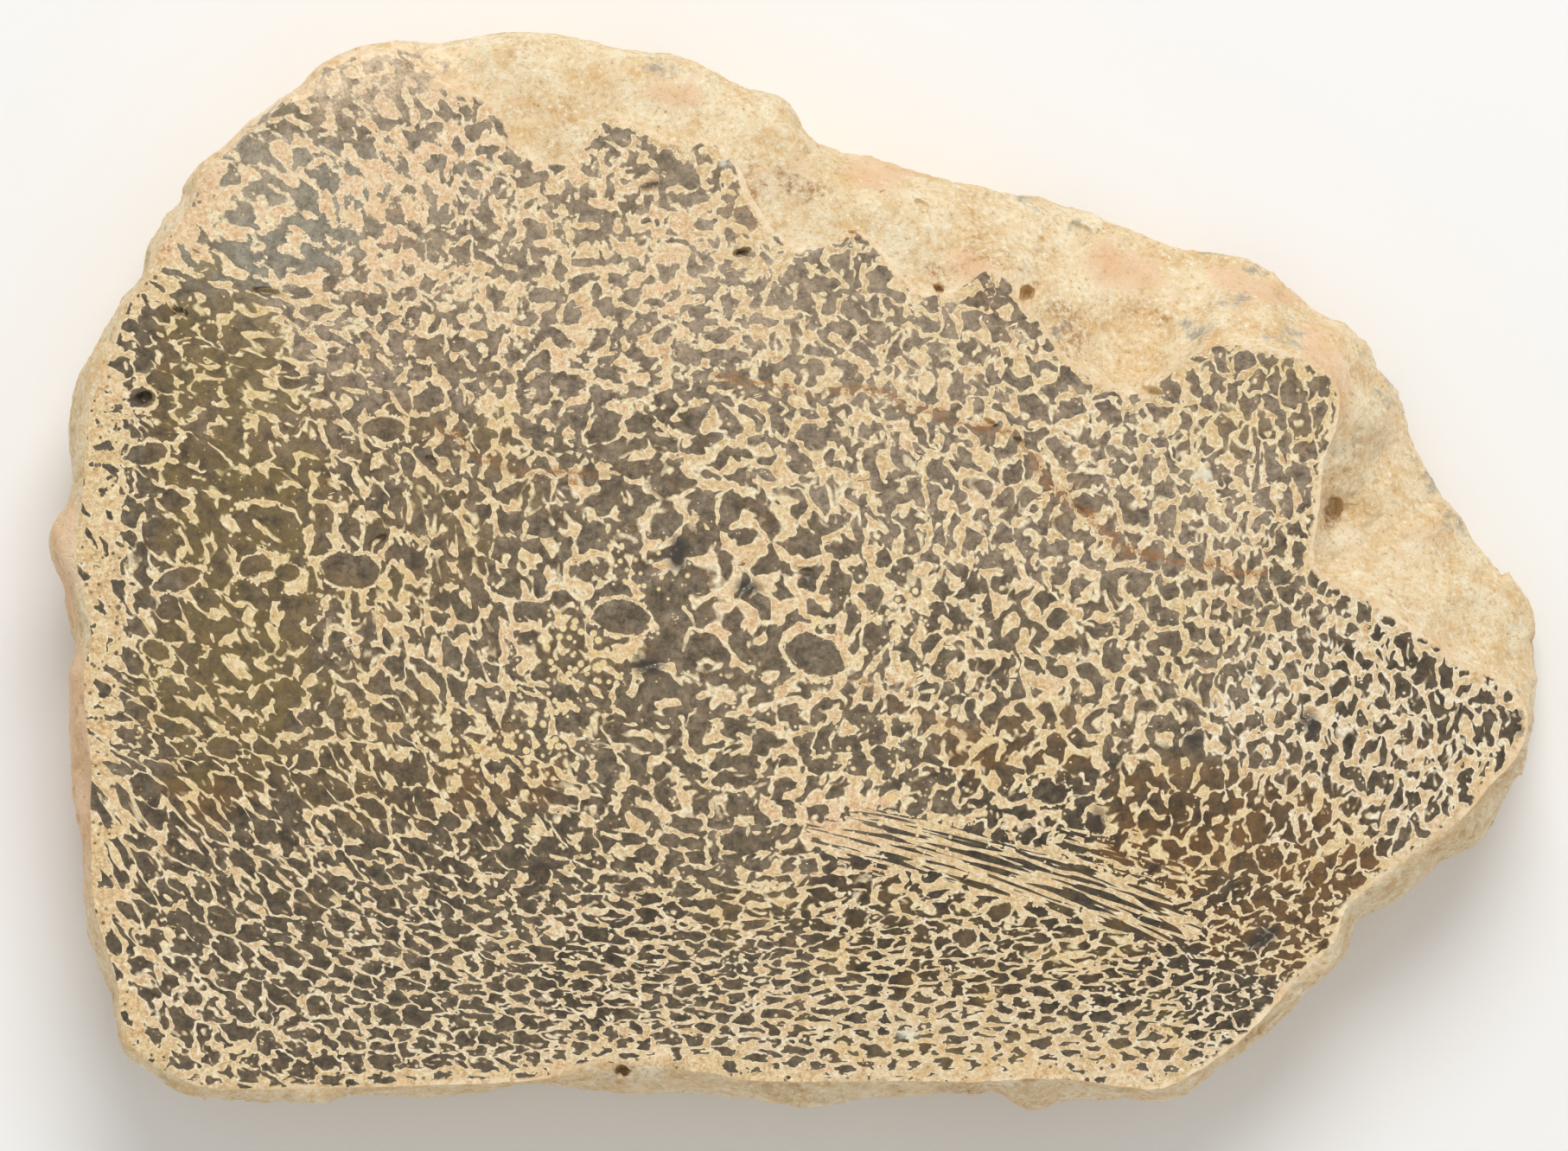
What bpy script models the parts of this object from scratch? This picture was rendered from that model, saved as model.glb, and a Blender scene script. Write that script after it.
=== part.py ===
"""Slab of petrified dinosaur bone: sawn flat on both faces, with its weathered side left natural.

It lies on its sawn back. The origin is under the middle of the slab, on the surface it rests on.
+X runs along its longest side and +Z up, out of the cut face. Sizes are written in millimetres,
and each finished mesh is scaled to metres.
"""

import math
import random

import bmesh
import bpy
from mathutils import Matrix, Vector, noise

METRES_PER_MM = 0.001

# Driving dimensions
THICKNESS = 18.0
STATION_SPACING = 1.35
LUMP_SIZE = 7.0
LUMP_HEIGHT = 1.3
LEDGE_SPACING = 3.4
LEDGE_LENGTH = 13.0
LEDGE_HEIGHT = 1.0
GRAIN_SIZE = 2.6
GRAIN_HEIGHT = 0.45
SIDE_PITS = 24
SIDE_PIT_LENGTH = (1.3, 2.8)
SIDE_PIT_RINGS = (4, 9)
SEED = 11

# Stations around the slab, clockwise from above. Each row is a place on the widest line
# of the side, x and y, and the place on the rim of the cut face that it climbs to, x and y.
LEFT = [
    (-64.3, 3.8, -62.1, 4.0),
    (-63.4, 5.1, -61.7, 5.8),
    (-63.0, 11.5, -61.3, 11.5),
    (-62.4, 15.6, -60.8, 14.7),
    (-60.3, 19.0, -59.1, 18.6),
    (-58.7, 23.8, -57.6, 23.1),
    (-57.4, 25.0, -56.4, 24.4),
    (-56.1, 28.3, -55.1, 27.6),
    (-54.8, 29.7, -54.0, 28.9),
    (-54.4, 30.8, -53.4, 30.0),
    (-53.1, 31.3, -52.4, 30.9),
    (-51.9, 35.1, -51.0, 34.4),
    (-49.9, 36.6, -49.2, 35.9),
    (-48.2, 38.4, -47.5, 37.5),
    (-44.2, 41.4, -43.6, 40.4),
    (-42.6, 42.1, -42.0, 40.9),
]
TOP = [
    (-41.1, 43.7, -40.0, 42.0),
    (-35.9, 45.4, -35.2, 43.0),
    (-32.9, 45.7, -32.2, 42.8),
    (-29.8, 46.0, -29.1, 41.4),
    (-26.8, 46.5, -25.9, 40.5),
    (-23.8, 46.8, -24.0, 37.0),
    (-20.8, 46.6, -21.1, 34.8),
    (-17.8, 46.0, -18.4, 36.4),
    (-14.8, 45.4, -16.0, 39.2),
    (-10.0, 44.7, -10.7, 37.4),
    (-7.7, 43.6, -7.9, 37.2),
    (-5.5, 42.5, -5.5, 36.2),
    (-0.2, 40.9, -3.4, 31.9),
    (0.9, 39.6, -2.1, 29.7),
    (1.6, 38.1, 0.1, 27.6),
    (3.0, 36.7, 2.8, 27.8),
    (5.0, 35.7, 4.6, 29.5),
    (7.6, 35.1, 6.8, 28.7),
    (10.3, 34.1, 8.4, 26.8),
    (13.3, 34.0, 10.8, 24.2),
    (16.6, 33.7, 14.0, 23.7),
]
RIND = [
    (18.1, 32.9, 16.6, 26.1),
    (20.8, 32.5, 18.9, 25.0),
    (27.9, 30.2, 23.8, 18.2),
    (31.6, 29.2, 27.9, 15.8),
    (34.6, 28.1, 29.4, 15.1),
    (38.4, 27.4, 32.5, 16.6),
    (40.3, 26.6, 35.4, 19.0),
    (42.1, 25.0, 39.1, 19.5),
    (44.8, 23.1, 42.9, 18.8),
    (48.1, 21.6, 45.5, 17.8),
    (50.4, 19.9, 47.0, 16.3),
    (51.3, 17.2, 47.5, 14.1),
    (52.4, 15.8, 47.0, 11.8),
    (52.4, 13.7, 46.0, 9.6),
    (53.5, 11.1, 45.8, 7.3),
    (55.3, 8.8, 45.6, 5.1),
    (56.5, 6.4, 45.3, 3.2),
    (58.3, 4.5, 45.1, 1.7),
    (59.4, 2.1, 45.3, 0.2),
    (60.8, 0.1, 46.3, -0.8),
    (63.1, -2.0, 48.5, -1.9),
    (64.0, -3.8, 51.0, -3.1),
    (64.7, -8.8, 57.9, -8.0),
    (64.4, -11.0, 62.0, -10.0),
]
RIGHT = [
    (64.7, -13.3, 63.8, -12.5),
    (64.1, -15.5, 63.3, -15.3),
    (63.6, -17.9, 62.2, -17.0),
    (62.0, -20.0, 60.3, -18.9),
    (60.6, -22.4, 58.6, -21.1),
    (59.0, -23.9, 56.5, -22.8),
    (56.5, -25.3, 54.1, -24.5),
    (54.5, -27.4, 52.0, -26.0),
    (49.3, -30.6, 47.8, -29.5),
    (48.7, -32.8, 47.2, -32.0),
    (46.6, -35.0, 45.5, -33.9),
    (44.6, -36.3, 43.6, -35.5),
    (43.3, -38.2, 42.1, -37.6),
    (38.4, -42.7, 37.5, -41.9),
    (33.1, -45.7, 32.5, -44.9),
]
BOTTOM = [
    (29.4, -45.7, 29.2, -45.0),
    (24.5, -46.0, 24.5, -44.3),
    (20.4, -46.8, 20.4, -44.2),
    (17.4, -46.1, 17.4, -44.4),
    (15.1, -46.1, 15.0, -44.5),
    (12.9, -45.4, 12.8, -44.4),
    (8.4, -45.8, 8.4, -44.4),
    (-3.2, -46.0, -2.9, -44.4),
    (-8.8, -45.7, -8.1, -43.6),
    (-17.8, -45.4, -17.1, -42.8),
    (-20.8, -45.4, -20.5, -44.0),
    (-24.6, -45.1, -24.6, -44.5),
    (-39.6, -45.9, -39.6, -45.0),
    (-47.9, -45.7, -47.7, -45.1),
]
LOWER_LEFT = [
    (-51.2, -45.8, -50.9, -45.0),
    (-53.5, -45.2, -52.9, -44.4),
    (-55.7, -43.9, -55.0, -43.2),
    (-57.6, -43.0, -56.7, -42.1),
    (-58.9, -40.9, -57.9, -40.4),
    (-59.5, -38.2, -58.5, -38.0),
    (-59.5, -36.1, -58.6, -35.9),
    (-61.6, -32.0, -60.1, -31.5),
    (-62.2, -28.3, -60.8, -28.1),
    (-62.1, -24.5, -60.9, -24.5),
    (-62.5, -20.6, -61.0, -20.6),
    (-62.1, -17.0, -60.9, -17.0),
    (-62.7, -14.0, -61.3, -14.0),
    (-63.1, -8.4, -61.6, -8.8),
    (-62.1, -6.9, -61.0, -6.9),
    (-62.0, -5.2, -61.0, -5.2),
    (-63.6, -1.1, -61.8, -1.1),
    (-64.6, 0.8, -62.2, 0.4),
]

# How the side falls from the rim to its widest line: (share of the way out, depth)
STEEP_SIDE = [(0.0, 0.0), (0.14, 0.3), (0.38, 1.1), (0.6, 2.4), (0.78, 4.0), (0.91, 5.9), (1.0, 8.4)]
LEVEL_SHELF = [(0.0, 0.0), (0.05, 0.3), (0.28, 0.7), (0.54, 1.2), (0.77, 2.3), (0.93, 4.4), (1.0, 7.6)]
RIND_SLOPE = [(0.0, 0.0), (0.04, 1.0), (0.22, 3.1), (0.43, 5.4), (0.65, 8.0), (0.86, 10.6), (1.0, 12.8)]
STRETCHES = [
    (LEFT, STEEP_SIDE),
    (TOP, LEVEL_SHELF),
    (RIND, RIND_SLOPE),
    (RIGHT, STEEP_SIDE),
    (BOTTOM, STEEP_SIDE),
    (LOWER_LEFT, STEEP_SIDE),
]
# Under the widest line the side turns in to the sawn back, and the nicks of the widest line
# fade out: (inset, share of the way down, stations to each side that are averaged)
UNDERSIDE = [(0.2, 0.2, 1), (0.6, 0.4, 3), (1.1, 0.6, 5), (1.7, 0.8, 7), (2.4, 1.0, 8)]
# Each ring stays at least this much lower than the one before, so nothing rises past the cut
LEAST_FALL = 0.14
# How freely each ring weathers: the rim stays where the saw left it, and the widest line keeps
# close to its stations
RING_WEAR = [0.0, 0.25, 1.0, 1.0, 1.0, 1.0, 0.35, 1.0, 1.0, 1.0, 1.0, 0.6]
# Stations to each side that settle which way is out, so small nicks don't fold the underside
OUTWARD_REACH = 4

# Hollows broken or worn into the side: (x, y, radius, depth)
HOLLOWS = [
    (28.6, 20.0, 5.4, 2.0),
    (33.4, 21.6, 3.6, 1.0),
    (46.9, 4.6, 2.6, 1.7),
    (1.8, 39.0, 2.6, 1.2),
    (58.0, -5.5, 4.2, 0.8),
    (50.6, 9.0, 2.4, 0.9),
    (-63.4, -7.0, 2.2, 0.8),
    (50.2, -31.8, 2.4, 0.9),
    (17.6, -46.4, 2.0, 0.9),
]
# Rounded knobs that stand out of the side: (x, y, radius, height)
KNOBS = [
    (-64.0, 2.2, 3.0, 0.7),
    (49.8, 13.2, 3.0, 0.9),
    (54.6, 3.0, 3.4, 0.8),
    (20.0, 29.2, 3.6, 0.6),
    (40.6, 23.0, 3.2, 0.6),
    (57.4, -2.6, 3.0, 0.6),
    (-27.0, 45.0, 3.6, 0.5),
    (20.6, -46.2, 2.6, 0.7),
]
# Open pits: (x, y, height of the middle, length, width, depth, turn in degrees)
PITS = [
    (-4.5, 27.5, 18.0, 1.9, 0.8, 1.6, 20.0),
    (30.6, 15.5, 17.6, 3.4, 1.0, 1.8, -12.0),
    (20.2, 23.9, 17.0, 1.8, 1.3, 2.4, 55.0),
    (12.6, 24.3, 17.6, 1.2, 0.8, 1.6, -30.0),
    (-56.4, 14.9, 18.0, 1.6, 1.2, 1.0, 10.0),
    (-14.8, -43.5, 17.0, 1.4, 1.2, 1.6, 0.0),
    (14.8, -45.4, 13.6, 2.0, 1.4, 1.6, 0.0),
    (46.9, 5.2, 13.6, 2.0, 2.6, 2.2, 0.0),
]

ROCK_COLOUR = (0.55, 0.43, 0.28, 1.0)
ROCK_ROUGHNESS = 0.6


def smooth_closed_curve(points, spacing):
    """Rows on a smooth closed curve through the given rows, whose first two numbers are x and y."""
    count = len(points)
    found = []
    for index in range(count):
        before, start, end, after = (points[(index + shift) % count] for shift in (-1, 0, 1, 2))
        steps = max(1, round(math.dist(start[0:2], end[0:2]) / spacing))
        for step in range(steps):
            t = step / steps
            found.append(
                0.5
                * (
                    2.0 * start
                    + (end - before) * t
                    + (2.0 * before - 5.0 * start + 4.0 * end - after) * t**2
                    + (3.0 * start - before - 3.0 * end + after) * t**3
                )
            )
    return found


def stations():
    """The widest line and the rim as (x, y) pairs, and each station's own fall of the side."""
    rows = []
    falls = []
    for stretch, fall in STRETCHES:
        for row in stretch:
            rows.append(Vector(row))
            falls.append(fall)
    count = len(rows)
    # The fall rides along as further numbers, so it changes smoothly between stretches
    carried = []
    for index, row in enumerate(rows):
        near = [falls[(index + shift) % count] for shift in range(-1, 2)]
        shares = [sum(fall[level][0] for fall in near) / 3.0 for level in range(len(STEEP_SIDE))]
        depths = [sum(fall[level][1] for fall in near) / 3.0 for level in range(len(STEEP_SIDE))]
        carried.append(Vector((*row, *shares, *depths)))
    return smooth_closed_curve(carried, STATION_SPACING)


def bumps_at(x, y, bumps):
    """How far a list of round bumps reaches at a place seen from above."""
    reach = 0.0
    for bump_x, bump_y, radius, height in bumps:
        distance = math.hypot(x - bump_x, y - bump_y) / radius
        if distance < 1.0:
            reach += height * (1.0 - distance**2) ** 2
    return reach


def averaged(points, reach):
    """A closed line with each point moved to the middle of its neighbours."""
    count = len(points)
    shifts = range(-reach, reach + 1)
    return [
        sum((points[(index + shift) % count] for shift in shifts), Vector((0.0, 0.0))) / len(shifts)
        for index in range(count)
    ]


def outward(points, index):
    """The level direction that points out of the slab at one station of a clockwise line."""
    along = points[(index + OUTWARD_REACH) % len(points)] - points[index - OUTWARD_REACH]
    return Vector((-along.y, along.x)).normalized()


def side_rings():
    """Rings of corners from the rim of the cut face down to the edge of the sawn back."""
    rows = stations()
    levels = len(STEEP_SIDE)
    widest = [Vector(row[0:2]) for row in rows]
    rim = [Vector(row[2:4]) for row in rows]
    rings = []
    for level in range(levels):
        ring = []
        for index, row in enumerate(rows):
            place = rim[index].lerp(widest[index], row[4 + level])
            ring.append(Vector((place.x, place.y, THICKNESS - row[4 + levels + level])))
        rings.append(ring)
    for inset, share, reach in UNDERSIDE:
        line = averaged(widest, reach)
        ring = []
        for index in range(len(rows)):
            place = line[index] - outward(line, index) * inset
            ring.append(Vector((place.x, place.y, rings[levels - 1][index].z * (1.0 - share))))
        rings.append(ring)
    return rings


def weathering(place):
    """How far the weathered side stands out at a place: lumps, long ledges and coarse grain."""
    lumps = noise.noise(place / LUMP_SIZE) * LUMP_HEIGHT
    across = Vector((place.x / LEDGE_LENGTH, place.y / LEDGE_LENGTH, place.z / LEDGE_SPACING))
    ledges = noise.noise(across + Vector((3.1, 7.7, 1.3))) * LEDGE_HEIGHT
    grain = noise.noise(place / GRAIN_SIZE + Vector((9.2, 4.4, 6.8))) * GRAIN_HEIGHT
    return lumps + ledges + grain


def roughen(corners):
    """Pushes the rings of the side in and out, and leaves both sawn faces flat."""
    widest_level = len(STEEP_SIDE) - 1
    last = len(corners) - 1
    for level, wear in enumerate(RING_WEAR):
        for corner in corners[level]:
            push = weathering(corner.co)
            if level < last:
                push += bumps_at(corner.co.x, corner.co.y, KNOBS)
                push -= bumps_at(corner.co.x, corner.co.y, HOLLOWS)
            direction = corner.normal.copy()
            if level in (widest_level, last):
                direction.z = 0.0
                direction.normalize()
            corner.co += direction * push * wear
            corner.co.z = min(corner.co.z, THICKNESS - level * LEAST_FALL)


def mesh_in_metres(name, shape):
    """Turns a shape worked out in millimetres into a mesh at its real size."""
    bmesh.ops.scale(shape, vec=Vector((1.0, 1.0, 1.0)) * METRES_PER_MM, verts=shape.verts[:])
    mesh = bpy.data.meshes.new(name)
    shape.to_mesh(mesh)
    shape.free()
    return mesh


def lofted_slab(name):
    """The slab as one closed mesh: a loft through the rings, capped by the two sawn faces."""
    rings = side_rings()
    count = len(rings[0])
    shape = bmesh.new()
    corners = [[shape.verts.new(place) for place in ring] for ring in rings]
    for upper, lower in zip(corners, corners[1:]):
        for index in range(count):
            after = (index + 1) % count
            shape.faces.new((upper[index], upper[after], lower[after], lower[index]))
    shape.normal_update()
    roughen(corners)
    shape.faces.new(list(reversed(corners[0])))
    shape.faces.new(corners[-1])
    shape.normal_update()
    bmesh.ops.triangulate(shape, faces=shape.faces[:], ngon_method="BEAUTY")
    return mesh_in_metres(name, shape)


def side_pits(mesh, chance):
    """Small hollows all the way round the side, as (x, y, height, length, width, depth, turn)."""
    rings = len(STEEP_SIDE) + len(UNDERSIDE)
    count = len(mesh.vertices) // rings
    pits = []
    for number in range(SIDE_PITS):
        ring = chance.randint(SIDE_PIT_RINGS[0], SIDE_PIT_RINGS[1])
        station = int((number + chance.uniform(0.2, 0.8)) * count / SIDE_PITS)
        corner = mesh.vertices[ring * count + station]
        length = chance.uniform(*SIDE_PIT_LENGTH)
        width = length * chance.uniform(0.5, 0.8)
        turn = math.degrees(math.atan2(corner.normal.x, -corner.normal.y))
        pits.append((*(corner.co / METRES_PER_MM), length, width, length * 0.4, turn))
    return pits


def pit_cutter(slab_mesh, collection):
    """Rough ellipsoids, one for each open pit, as one mesh that is cut away."""
    chance = random.Random(SEED)
    shape = bmesh.new()
    for x, y, height, length, width, depth, turn in PITS + side_pits(slab_mesh, chance):
        made = bmesh.ops.create_icosphere(shape, subdivisions=2, radius=0.5)["verts"]
        size = Matrix.Diagonal((length, width, depth * 2.0, 1.0))
        place = Matrix.Translation(Vector((x, y, height)))
        turned = Matrix.Rotation(math.radians(turn), 4, "Z")
        for corner in made:
            corner.co *= chance.uniform(0.86, 1.14)
        bmesh.ops.transform(shape, matrix=place @ turned @ size, verts=made)
    cutter = bpy.data.objects.new("pit_cutter", mesh_in_metres("pit_cutter", shape))
    collection.objects.link(cutter)
    cutter.display_type = "WIRE"
    cutter.hide_render = True
    return cutter


def rock_material():
    """Petrified bone: warm tan stone between grey-brown and cream."""
    material = bpy.data.materials.new("petrified_bone")
    material.use_nodes = True
    surface = material.node_tree.nodes["Principled BSDF"]
    surface.inputs["Base Color"].default_value = ROCK_COLOUR
    surface.inputs["Roughness"].default_value = ROCK_ROUGHNESS
    surface.inputs["Metallic"].default_value = 0.0
    return material


def new_collection(name):
    collection = bpy.data.collections.new(name)
    bpy.context.scene.collection.children.link(collection)
    return collection


def bone_slab(collection, cutters):
    """The whole object: one piece of stone."""
    mesh = lofted_slab("bone_slab")
    mesh.materials.append(rock_material())
    slab = bpy.data.objects.new("bone_slab", mesh)
    collection.objects.link(slab)
    pits = slab.modifiers.new("open pits", "BOOLEAN")
    pits.operation = "DIFFERENCE"
    pits.solver = "EXACT"
    pits.object = pit_cutter(mesh, cutters)
    return slab


def main():
    for thing in list(bpy.data.objects):
        bpy.data.objects.remove(thing, do_unlink=True)
    bone_slab(new_collection("dinosaur_bone_slab"), new_collection("cutters"))


main()
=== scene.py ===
# %% [markdown]
# # A slab of dinosaur bone
#
# The slab is one piece of stone, sawn from a petrified bone. The solid model already gives its
# outline, its thickness and the slopes of its side. This lesson dresses that solid: a fine mesh
# for the weathered side, and three finishes, for the polished cut, the rind and the sawn back.

import math
import random
from functools import partialmethod

import bmesh
import bpy
import numpy as np
from mathutils import Color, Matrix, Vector
from mathutils.geometry import delaunay_2d_cdt


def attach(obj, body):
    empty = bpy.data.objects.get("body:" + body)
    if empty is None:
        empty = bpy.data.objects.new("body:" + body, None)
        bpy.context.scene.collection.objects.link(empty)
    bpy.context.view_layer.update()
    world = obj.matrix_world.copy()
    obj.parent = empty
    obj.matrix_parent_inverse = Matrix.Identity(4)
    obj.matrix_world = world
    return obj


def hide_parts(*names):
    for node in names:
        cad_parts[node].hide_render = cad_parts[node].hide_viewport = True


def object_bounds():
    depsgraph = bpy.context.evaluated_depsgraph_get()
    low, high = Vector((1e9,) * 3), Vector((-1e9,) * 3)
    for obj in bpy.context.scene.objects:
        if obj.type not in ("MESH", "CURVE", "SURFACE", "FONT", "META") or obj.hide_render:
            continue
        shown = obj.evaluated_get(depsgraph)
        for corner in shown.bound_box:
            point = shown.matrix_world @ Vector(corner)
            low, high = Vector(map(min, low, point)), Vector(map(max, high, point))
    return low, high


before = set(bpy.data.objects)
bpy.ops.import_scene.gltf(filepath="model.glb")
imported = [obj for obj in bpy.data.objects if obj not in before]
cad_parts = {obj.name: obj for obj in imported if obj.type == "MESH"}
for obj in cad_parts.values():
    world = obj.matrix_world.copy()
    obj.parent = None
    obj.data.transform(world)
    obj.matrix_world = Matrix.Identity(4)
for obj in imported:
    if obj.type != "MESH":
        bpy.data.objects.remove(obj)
solid_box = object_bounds()
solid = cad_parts["bone_slab"]
print("solid slab:", len(solid.data.polygons), "triangles")

# %% [markdown]
# ## Places on the slab
#
# The photo looks square onto the cut face, so one scale turns its pixels into millimetres. Each
# feature of the stone is placed by the pixel where it is seen, and two short functions
# turn such places into the slab's own millimetres and back.

# %% Photo pixels and millimetres
MM = 0.001
PIXEL_MM = 0.075
ORIGIN_PIXEL = (918, 658)
PHOTO_SIZE = (1814, 1331)
TOP = solid_box[1][2]


def slab_mm(pixel):
    """Millimetres from the slab's middle, for a pixel of the photo."""
    return ((pixel[0] - ORIGIN_PIXEL[0]) * PIXEL_MM, (ORIGIN_PIXEL[1] - pixel[1]) * PIXEL_MM)


def photo_pixels(points):
    """Pixels of the photo, as two arrays, for points in metres."""
    return (ORIGIN_PIXEL[0] + points[:, 0] / (PIXEL_MM * MM),
            ORIGIN_PIXEL[1] - points[:, 1] / (PIXEL_MM * MM))


PHOTO_MIDDLE = slab_mm((PHOTO_SIZE[0] / 2, PHOTO_SIZE[1] / 2))
print("cut face at", round(TOP / MM, 2), "mm, photo's middle at", PHOTO_MIDDLE, "mm")

# %% [markdown]
# ## Short ways to wire nodes
#
# Shader trees and geometry trees are wired in the same way, so one small class serves both. Its
# methods add a node, feed its sockets with values or with other nodes, and give back an output.

# %% A wiring helper
HALF = (0.5, 0.5, 0.5)
ZERO = (0.0, 0.0, 0.0)
# The two outputs of a noise node, and for each kind of mix its first input and its output.
FACTOR, COLOUR = 0, 1
MIX_SOCKETS = {"FLOAT": (2, 0), "VECTOR": (4, 1), "RGBA": (6, 2)}


class Wiring:
    """Adds nodes to one tree and joins them."""

    def __init__(self, tree):
        self.tree = tree

    def node(self, kind, **settings):
        made = self.tree.nodes.new(kind)
        for name, value in settings.items():
            setattr(made, name, value)
        return made

    def feed(self, socket, value):
        if isinstance(value, bpy.types.NodeSocket):
            self.tree.links.new(value, socket)
        else:
            socket.default_value = value

    def fed(self, kind, values, **settings):
        """The outputs of a new node, fed with values in order, or by number or name."""
        made = self.node(kind, **settings)
        for key, value in (values.items() if isinstance(values, dict) else enumerate(values)):
            self.feed(made.inputs[key], value)
        return made.outputs

    def maths(self, operation, *values):
        return self.fed("ShaderNodeMath", values, operation=operation)[0]

    times = partialmethod(maths, "MULTIPLY")
    plus = partialmethod(maths, "ADD")
    minus = partialmethod(maths, "SUBTRACT")
    larger = partialmethod(maths, "MAXIMUM")
    smaller = partialmethod(maths, "MINIMUM")
    times_plus = partialmethod(maths, "MULTIPLY_ADD")

    def vector(self, operation, *values):
        outputs = self.fed("ShaderNodeVectorMath", values, operation=operation)
        return outputs["Value" if operation == "DOT_PRODUCT" else "Vector"]

    def scaled(self, vector, factor):
        return self.fed("ShaderNodeVectorMath", {"Vector": vector, "Scale": factor}, operation="SCALE")[0]

    def per(self, size):
        """One over a size, which is a number or a socket."""
        is_socket = isinstance(size, bpy.types.NodeSocket)
        return self.maths("DIVIDE", 1.0, size) if is_socket else 1.0 / size

    def noise(self, vector, size, detail=0.0, roughness=0.5, output=FACTOR):
        """Cloudy noise whose lumps are about size across."""
        values = {"Vector": vector, "Scale": self.per(size), "Detail": detail, "Roughness": roughness}
        return self.fed("ShaderNodeTexNoise", values)[output]

    def cells(self, vector, size, feature="F1", dimensions="2D"):
        """Distances in a pattern of cells about size across, in parts of that size."""
        values = {"Vector": vector, "Scale": self.per(size)}
        kind = {"feature": feature, "voronoi_dimensions": dimensions}
        return self.fed("ShaderNodeTexVoronoi", values, **kind)["Distance"]

    def spread(self, value, low, high, to_low=0.0, to_high=1.0):
        """A value between low and high, spread out to a new range and held there."""
        return self.fed("ShaderNodeMapRange", (value, low, high, to_low, to_high))[0]

    def mix(self, kind, amount, low, high):
        first, output = MIX_SOCKETS[kind]
        return self.fed("ShaderNodeMix", {0: amount, first: low, first + 1: high}, data_type=kind)[output]

    between = partialmethod(mix, "FLOAT")
    choose = partialmethod(mix, "VECTOR")
    tint = partialmethod(mix, "RGBA")

    def stored(self, name, output="Fac"):
        """A value stored on the mesh."""
        return self.node("ShaderNodeAttribute", attribute_name=name).outputs[output]

    def shaken(self, value, noise, swing):
        """A value, or a stored one given by its name, moved up and down by noise."""
        value = self.stored(value) if isinstance(value, str) else value
        return self.times_plus(self.minus(noise, 0.5), swing, value)

    def use(self, group, **values):
        return self.fed("ShaderNodeGroup", values, node_tree=group)


print("wiring ready")


# %% New shader groups, and paints
def new_group(name, inputs, outputs):
    """A shader node group with named sockets, its wiring, its inputs and its outputs."""
    group = bpy.data.node_groups.new(name, "ShaderNodeTree")
    for label, value in inputs.items():
        kind = "NodeSocketVector" if isinstance(value, tuple) else "NodeSocketFloat"
        group.interface.new_socket(label, in_out="INPUT", socket_type=kind).default_value = value
    for label, kind in outputs.items():
        group.interface.new_socket(label, in_out="OUTPUT", socket_type="NodeSocket" + kind)
    wiring = Wiring(group)
    return group, wiring, wiring.node("NodeGroupInput").outputs, wiring.node("NodeGroupOutput").inputs


def paint(red, green, blue):
    """A colour as a screen shows it, 0 to 255, turned into the shader's own numbers."""
    return (*Color((red / 255, green / 255, blue / 255)).from_srgb_to_scene_linear(), 1.0)


print("middle grey as the shader sees it:", round(paint(128, 128, 128)[0], 3))

# %% [markdown]
# ## A finer mesh for the side
#
# The solid has flat facets about 1.4 mm wide. Its side is lifted off as an open shell, with
# triangles paired into four-sided faces, and smoothed by subdivision. Only the upper part of the
# side, which faces the light, is divided once more, because that is where fine relief shows.


# %% Objects and modifiers by script
def added(name, data):
    """A new object, linked to the scene."""
    made = bpy.data.objects.new(name, data)
    bpy.context.collection.objects.link(made)
    return made


def changed(mesh, name, kind, prepare):
    """The mesh after one modifier, which a function prepares."""
    worker = added(name, mesh)
    prepare(worker.modifiers.new(name, kind))
    graph = bpy.context.evaluated_depsgraph_get()
    result = bpy.data.meshes.new_from_object(worker.evaluated_get(graph))
    bpy.data.objects.remove(worker)
    return result


print("helpers for objects and modifiers ready")

# %% Lift the side off a merged copy of the solid
FLAT = 0.999
NEAR = 1e-5
MERGE = 1e-6
PAIR_ANGLE, PAIR_SHAPE = 0.6, 0.8


def lies_flat(face):
    """True for a face of the sawn front or back."""
    heights = [v.co.z for v in face.verts]
    at_end = min(abs(heights[0]), abs(heights[0] - TOP)) < NEAR
    return abs(face.normal.z) > FLAT and at_end and max(heights) - min(heights) < NEAR


def side_shell(source):
    """The side of the slab without its two flat faces."""
    shape = bmesh.new()
    shape.from_mesh(source.data)
    bmesh.ops.remove_doubles(shape, verts=shape.verts, dist=MERGE)
    bmesh.ops.delete(shape, geom=[f for f in shape.faces if lies_flat(f)], context="FACES")
    bmesh.ops.join_triangles(shape, faces=shape.faces, angle_face_threshold=PAIR_ANGLE,
                             angle_shape_threshold=PAIR_SHAPE)
    mesh = bpy.data.meshes.new("side_shell")
    shape.to_mesh(mesh)
    shape.free()
    return mesh


lifted = side_shell(solid)
print("side lifted off:", len(lifted.polygons), "faces")

# %% Smooth it, and divide its upper part once more
FACING_UP = -0.15


def divide_once(modifier):
    modifier.levels = 1
    modifier.render_levels = 1


def split_upper_side(mesh):
    """Divides once more the faces that look up."""
    shape = bmesh.new()
    shape.from_mesh(mesh)
    shape.normal_update()
    faces = [f for f in shape.faces if f.normal.z > FACING_UP]
    edges = list({e for f in faces for e in f.edges})
    bmesh.ops.subdivide_edges(shape, edges=edges, cuts=1, use_grid_fill=True)
    shape.to_mesh(mesh)
    shape.free()
    return mesh


shell = split_upper_side(changed(lifted, "side_shell", "SUBSURF", divide_once))
print("side shell:", len(shell.polygons), "faces,", len(shell.vertices), "points")

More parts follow.
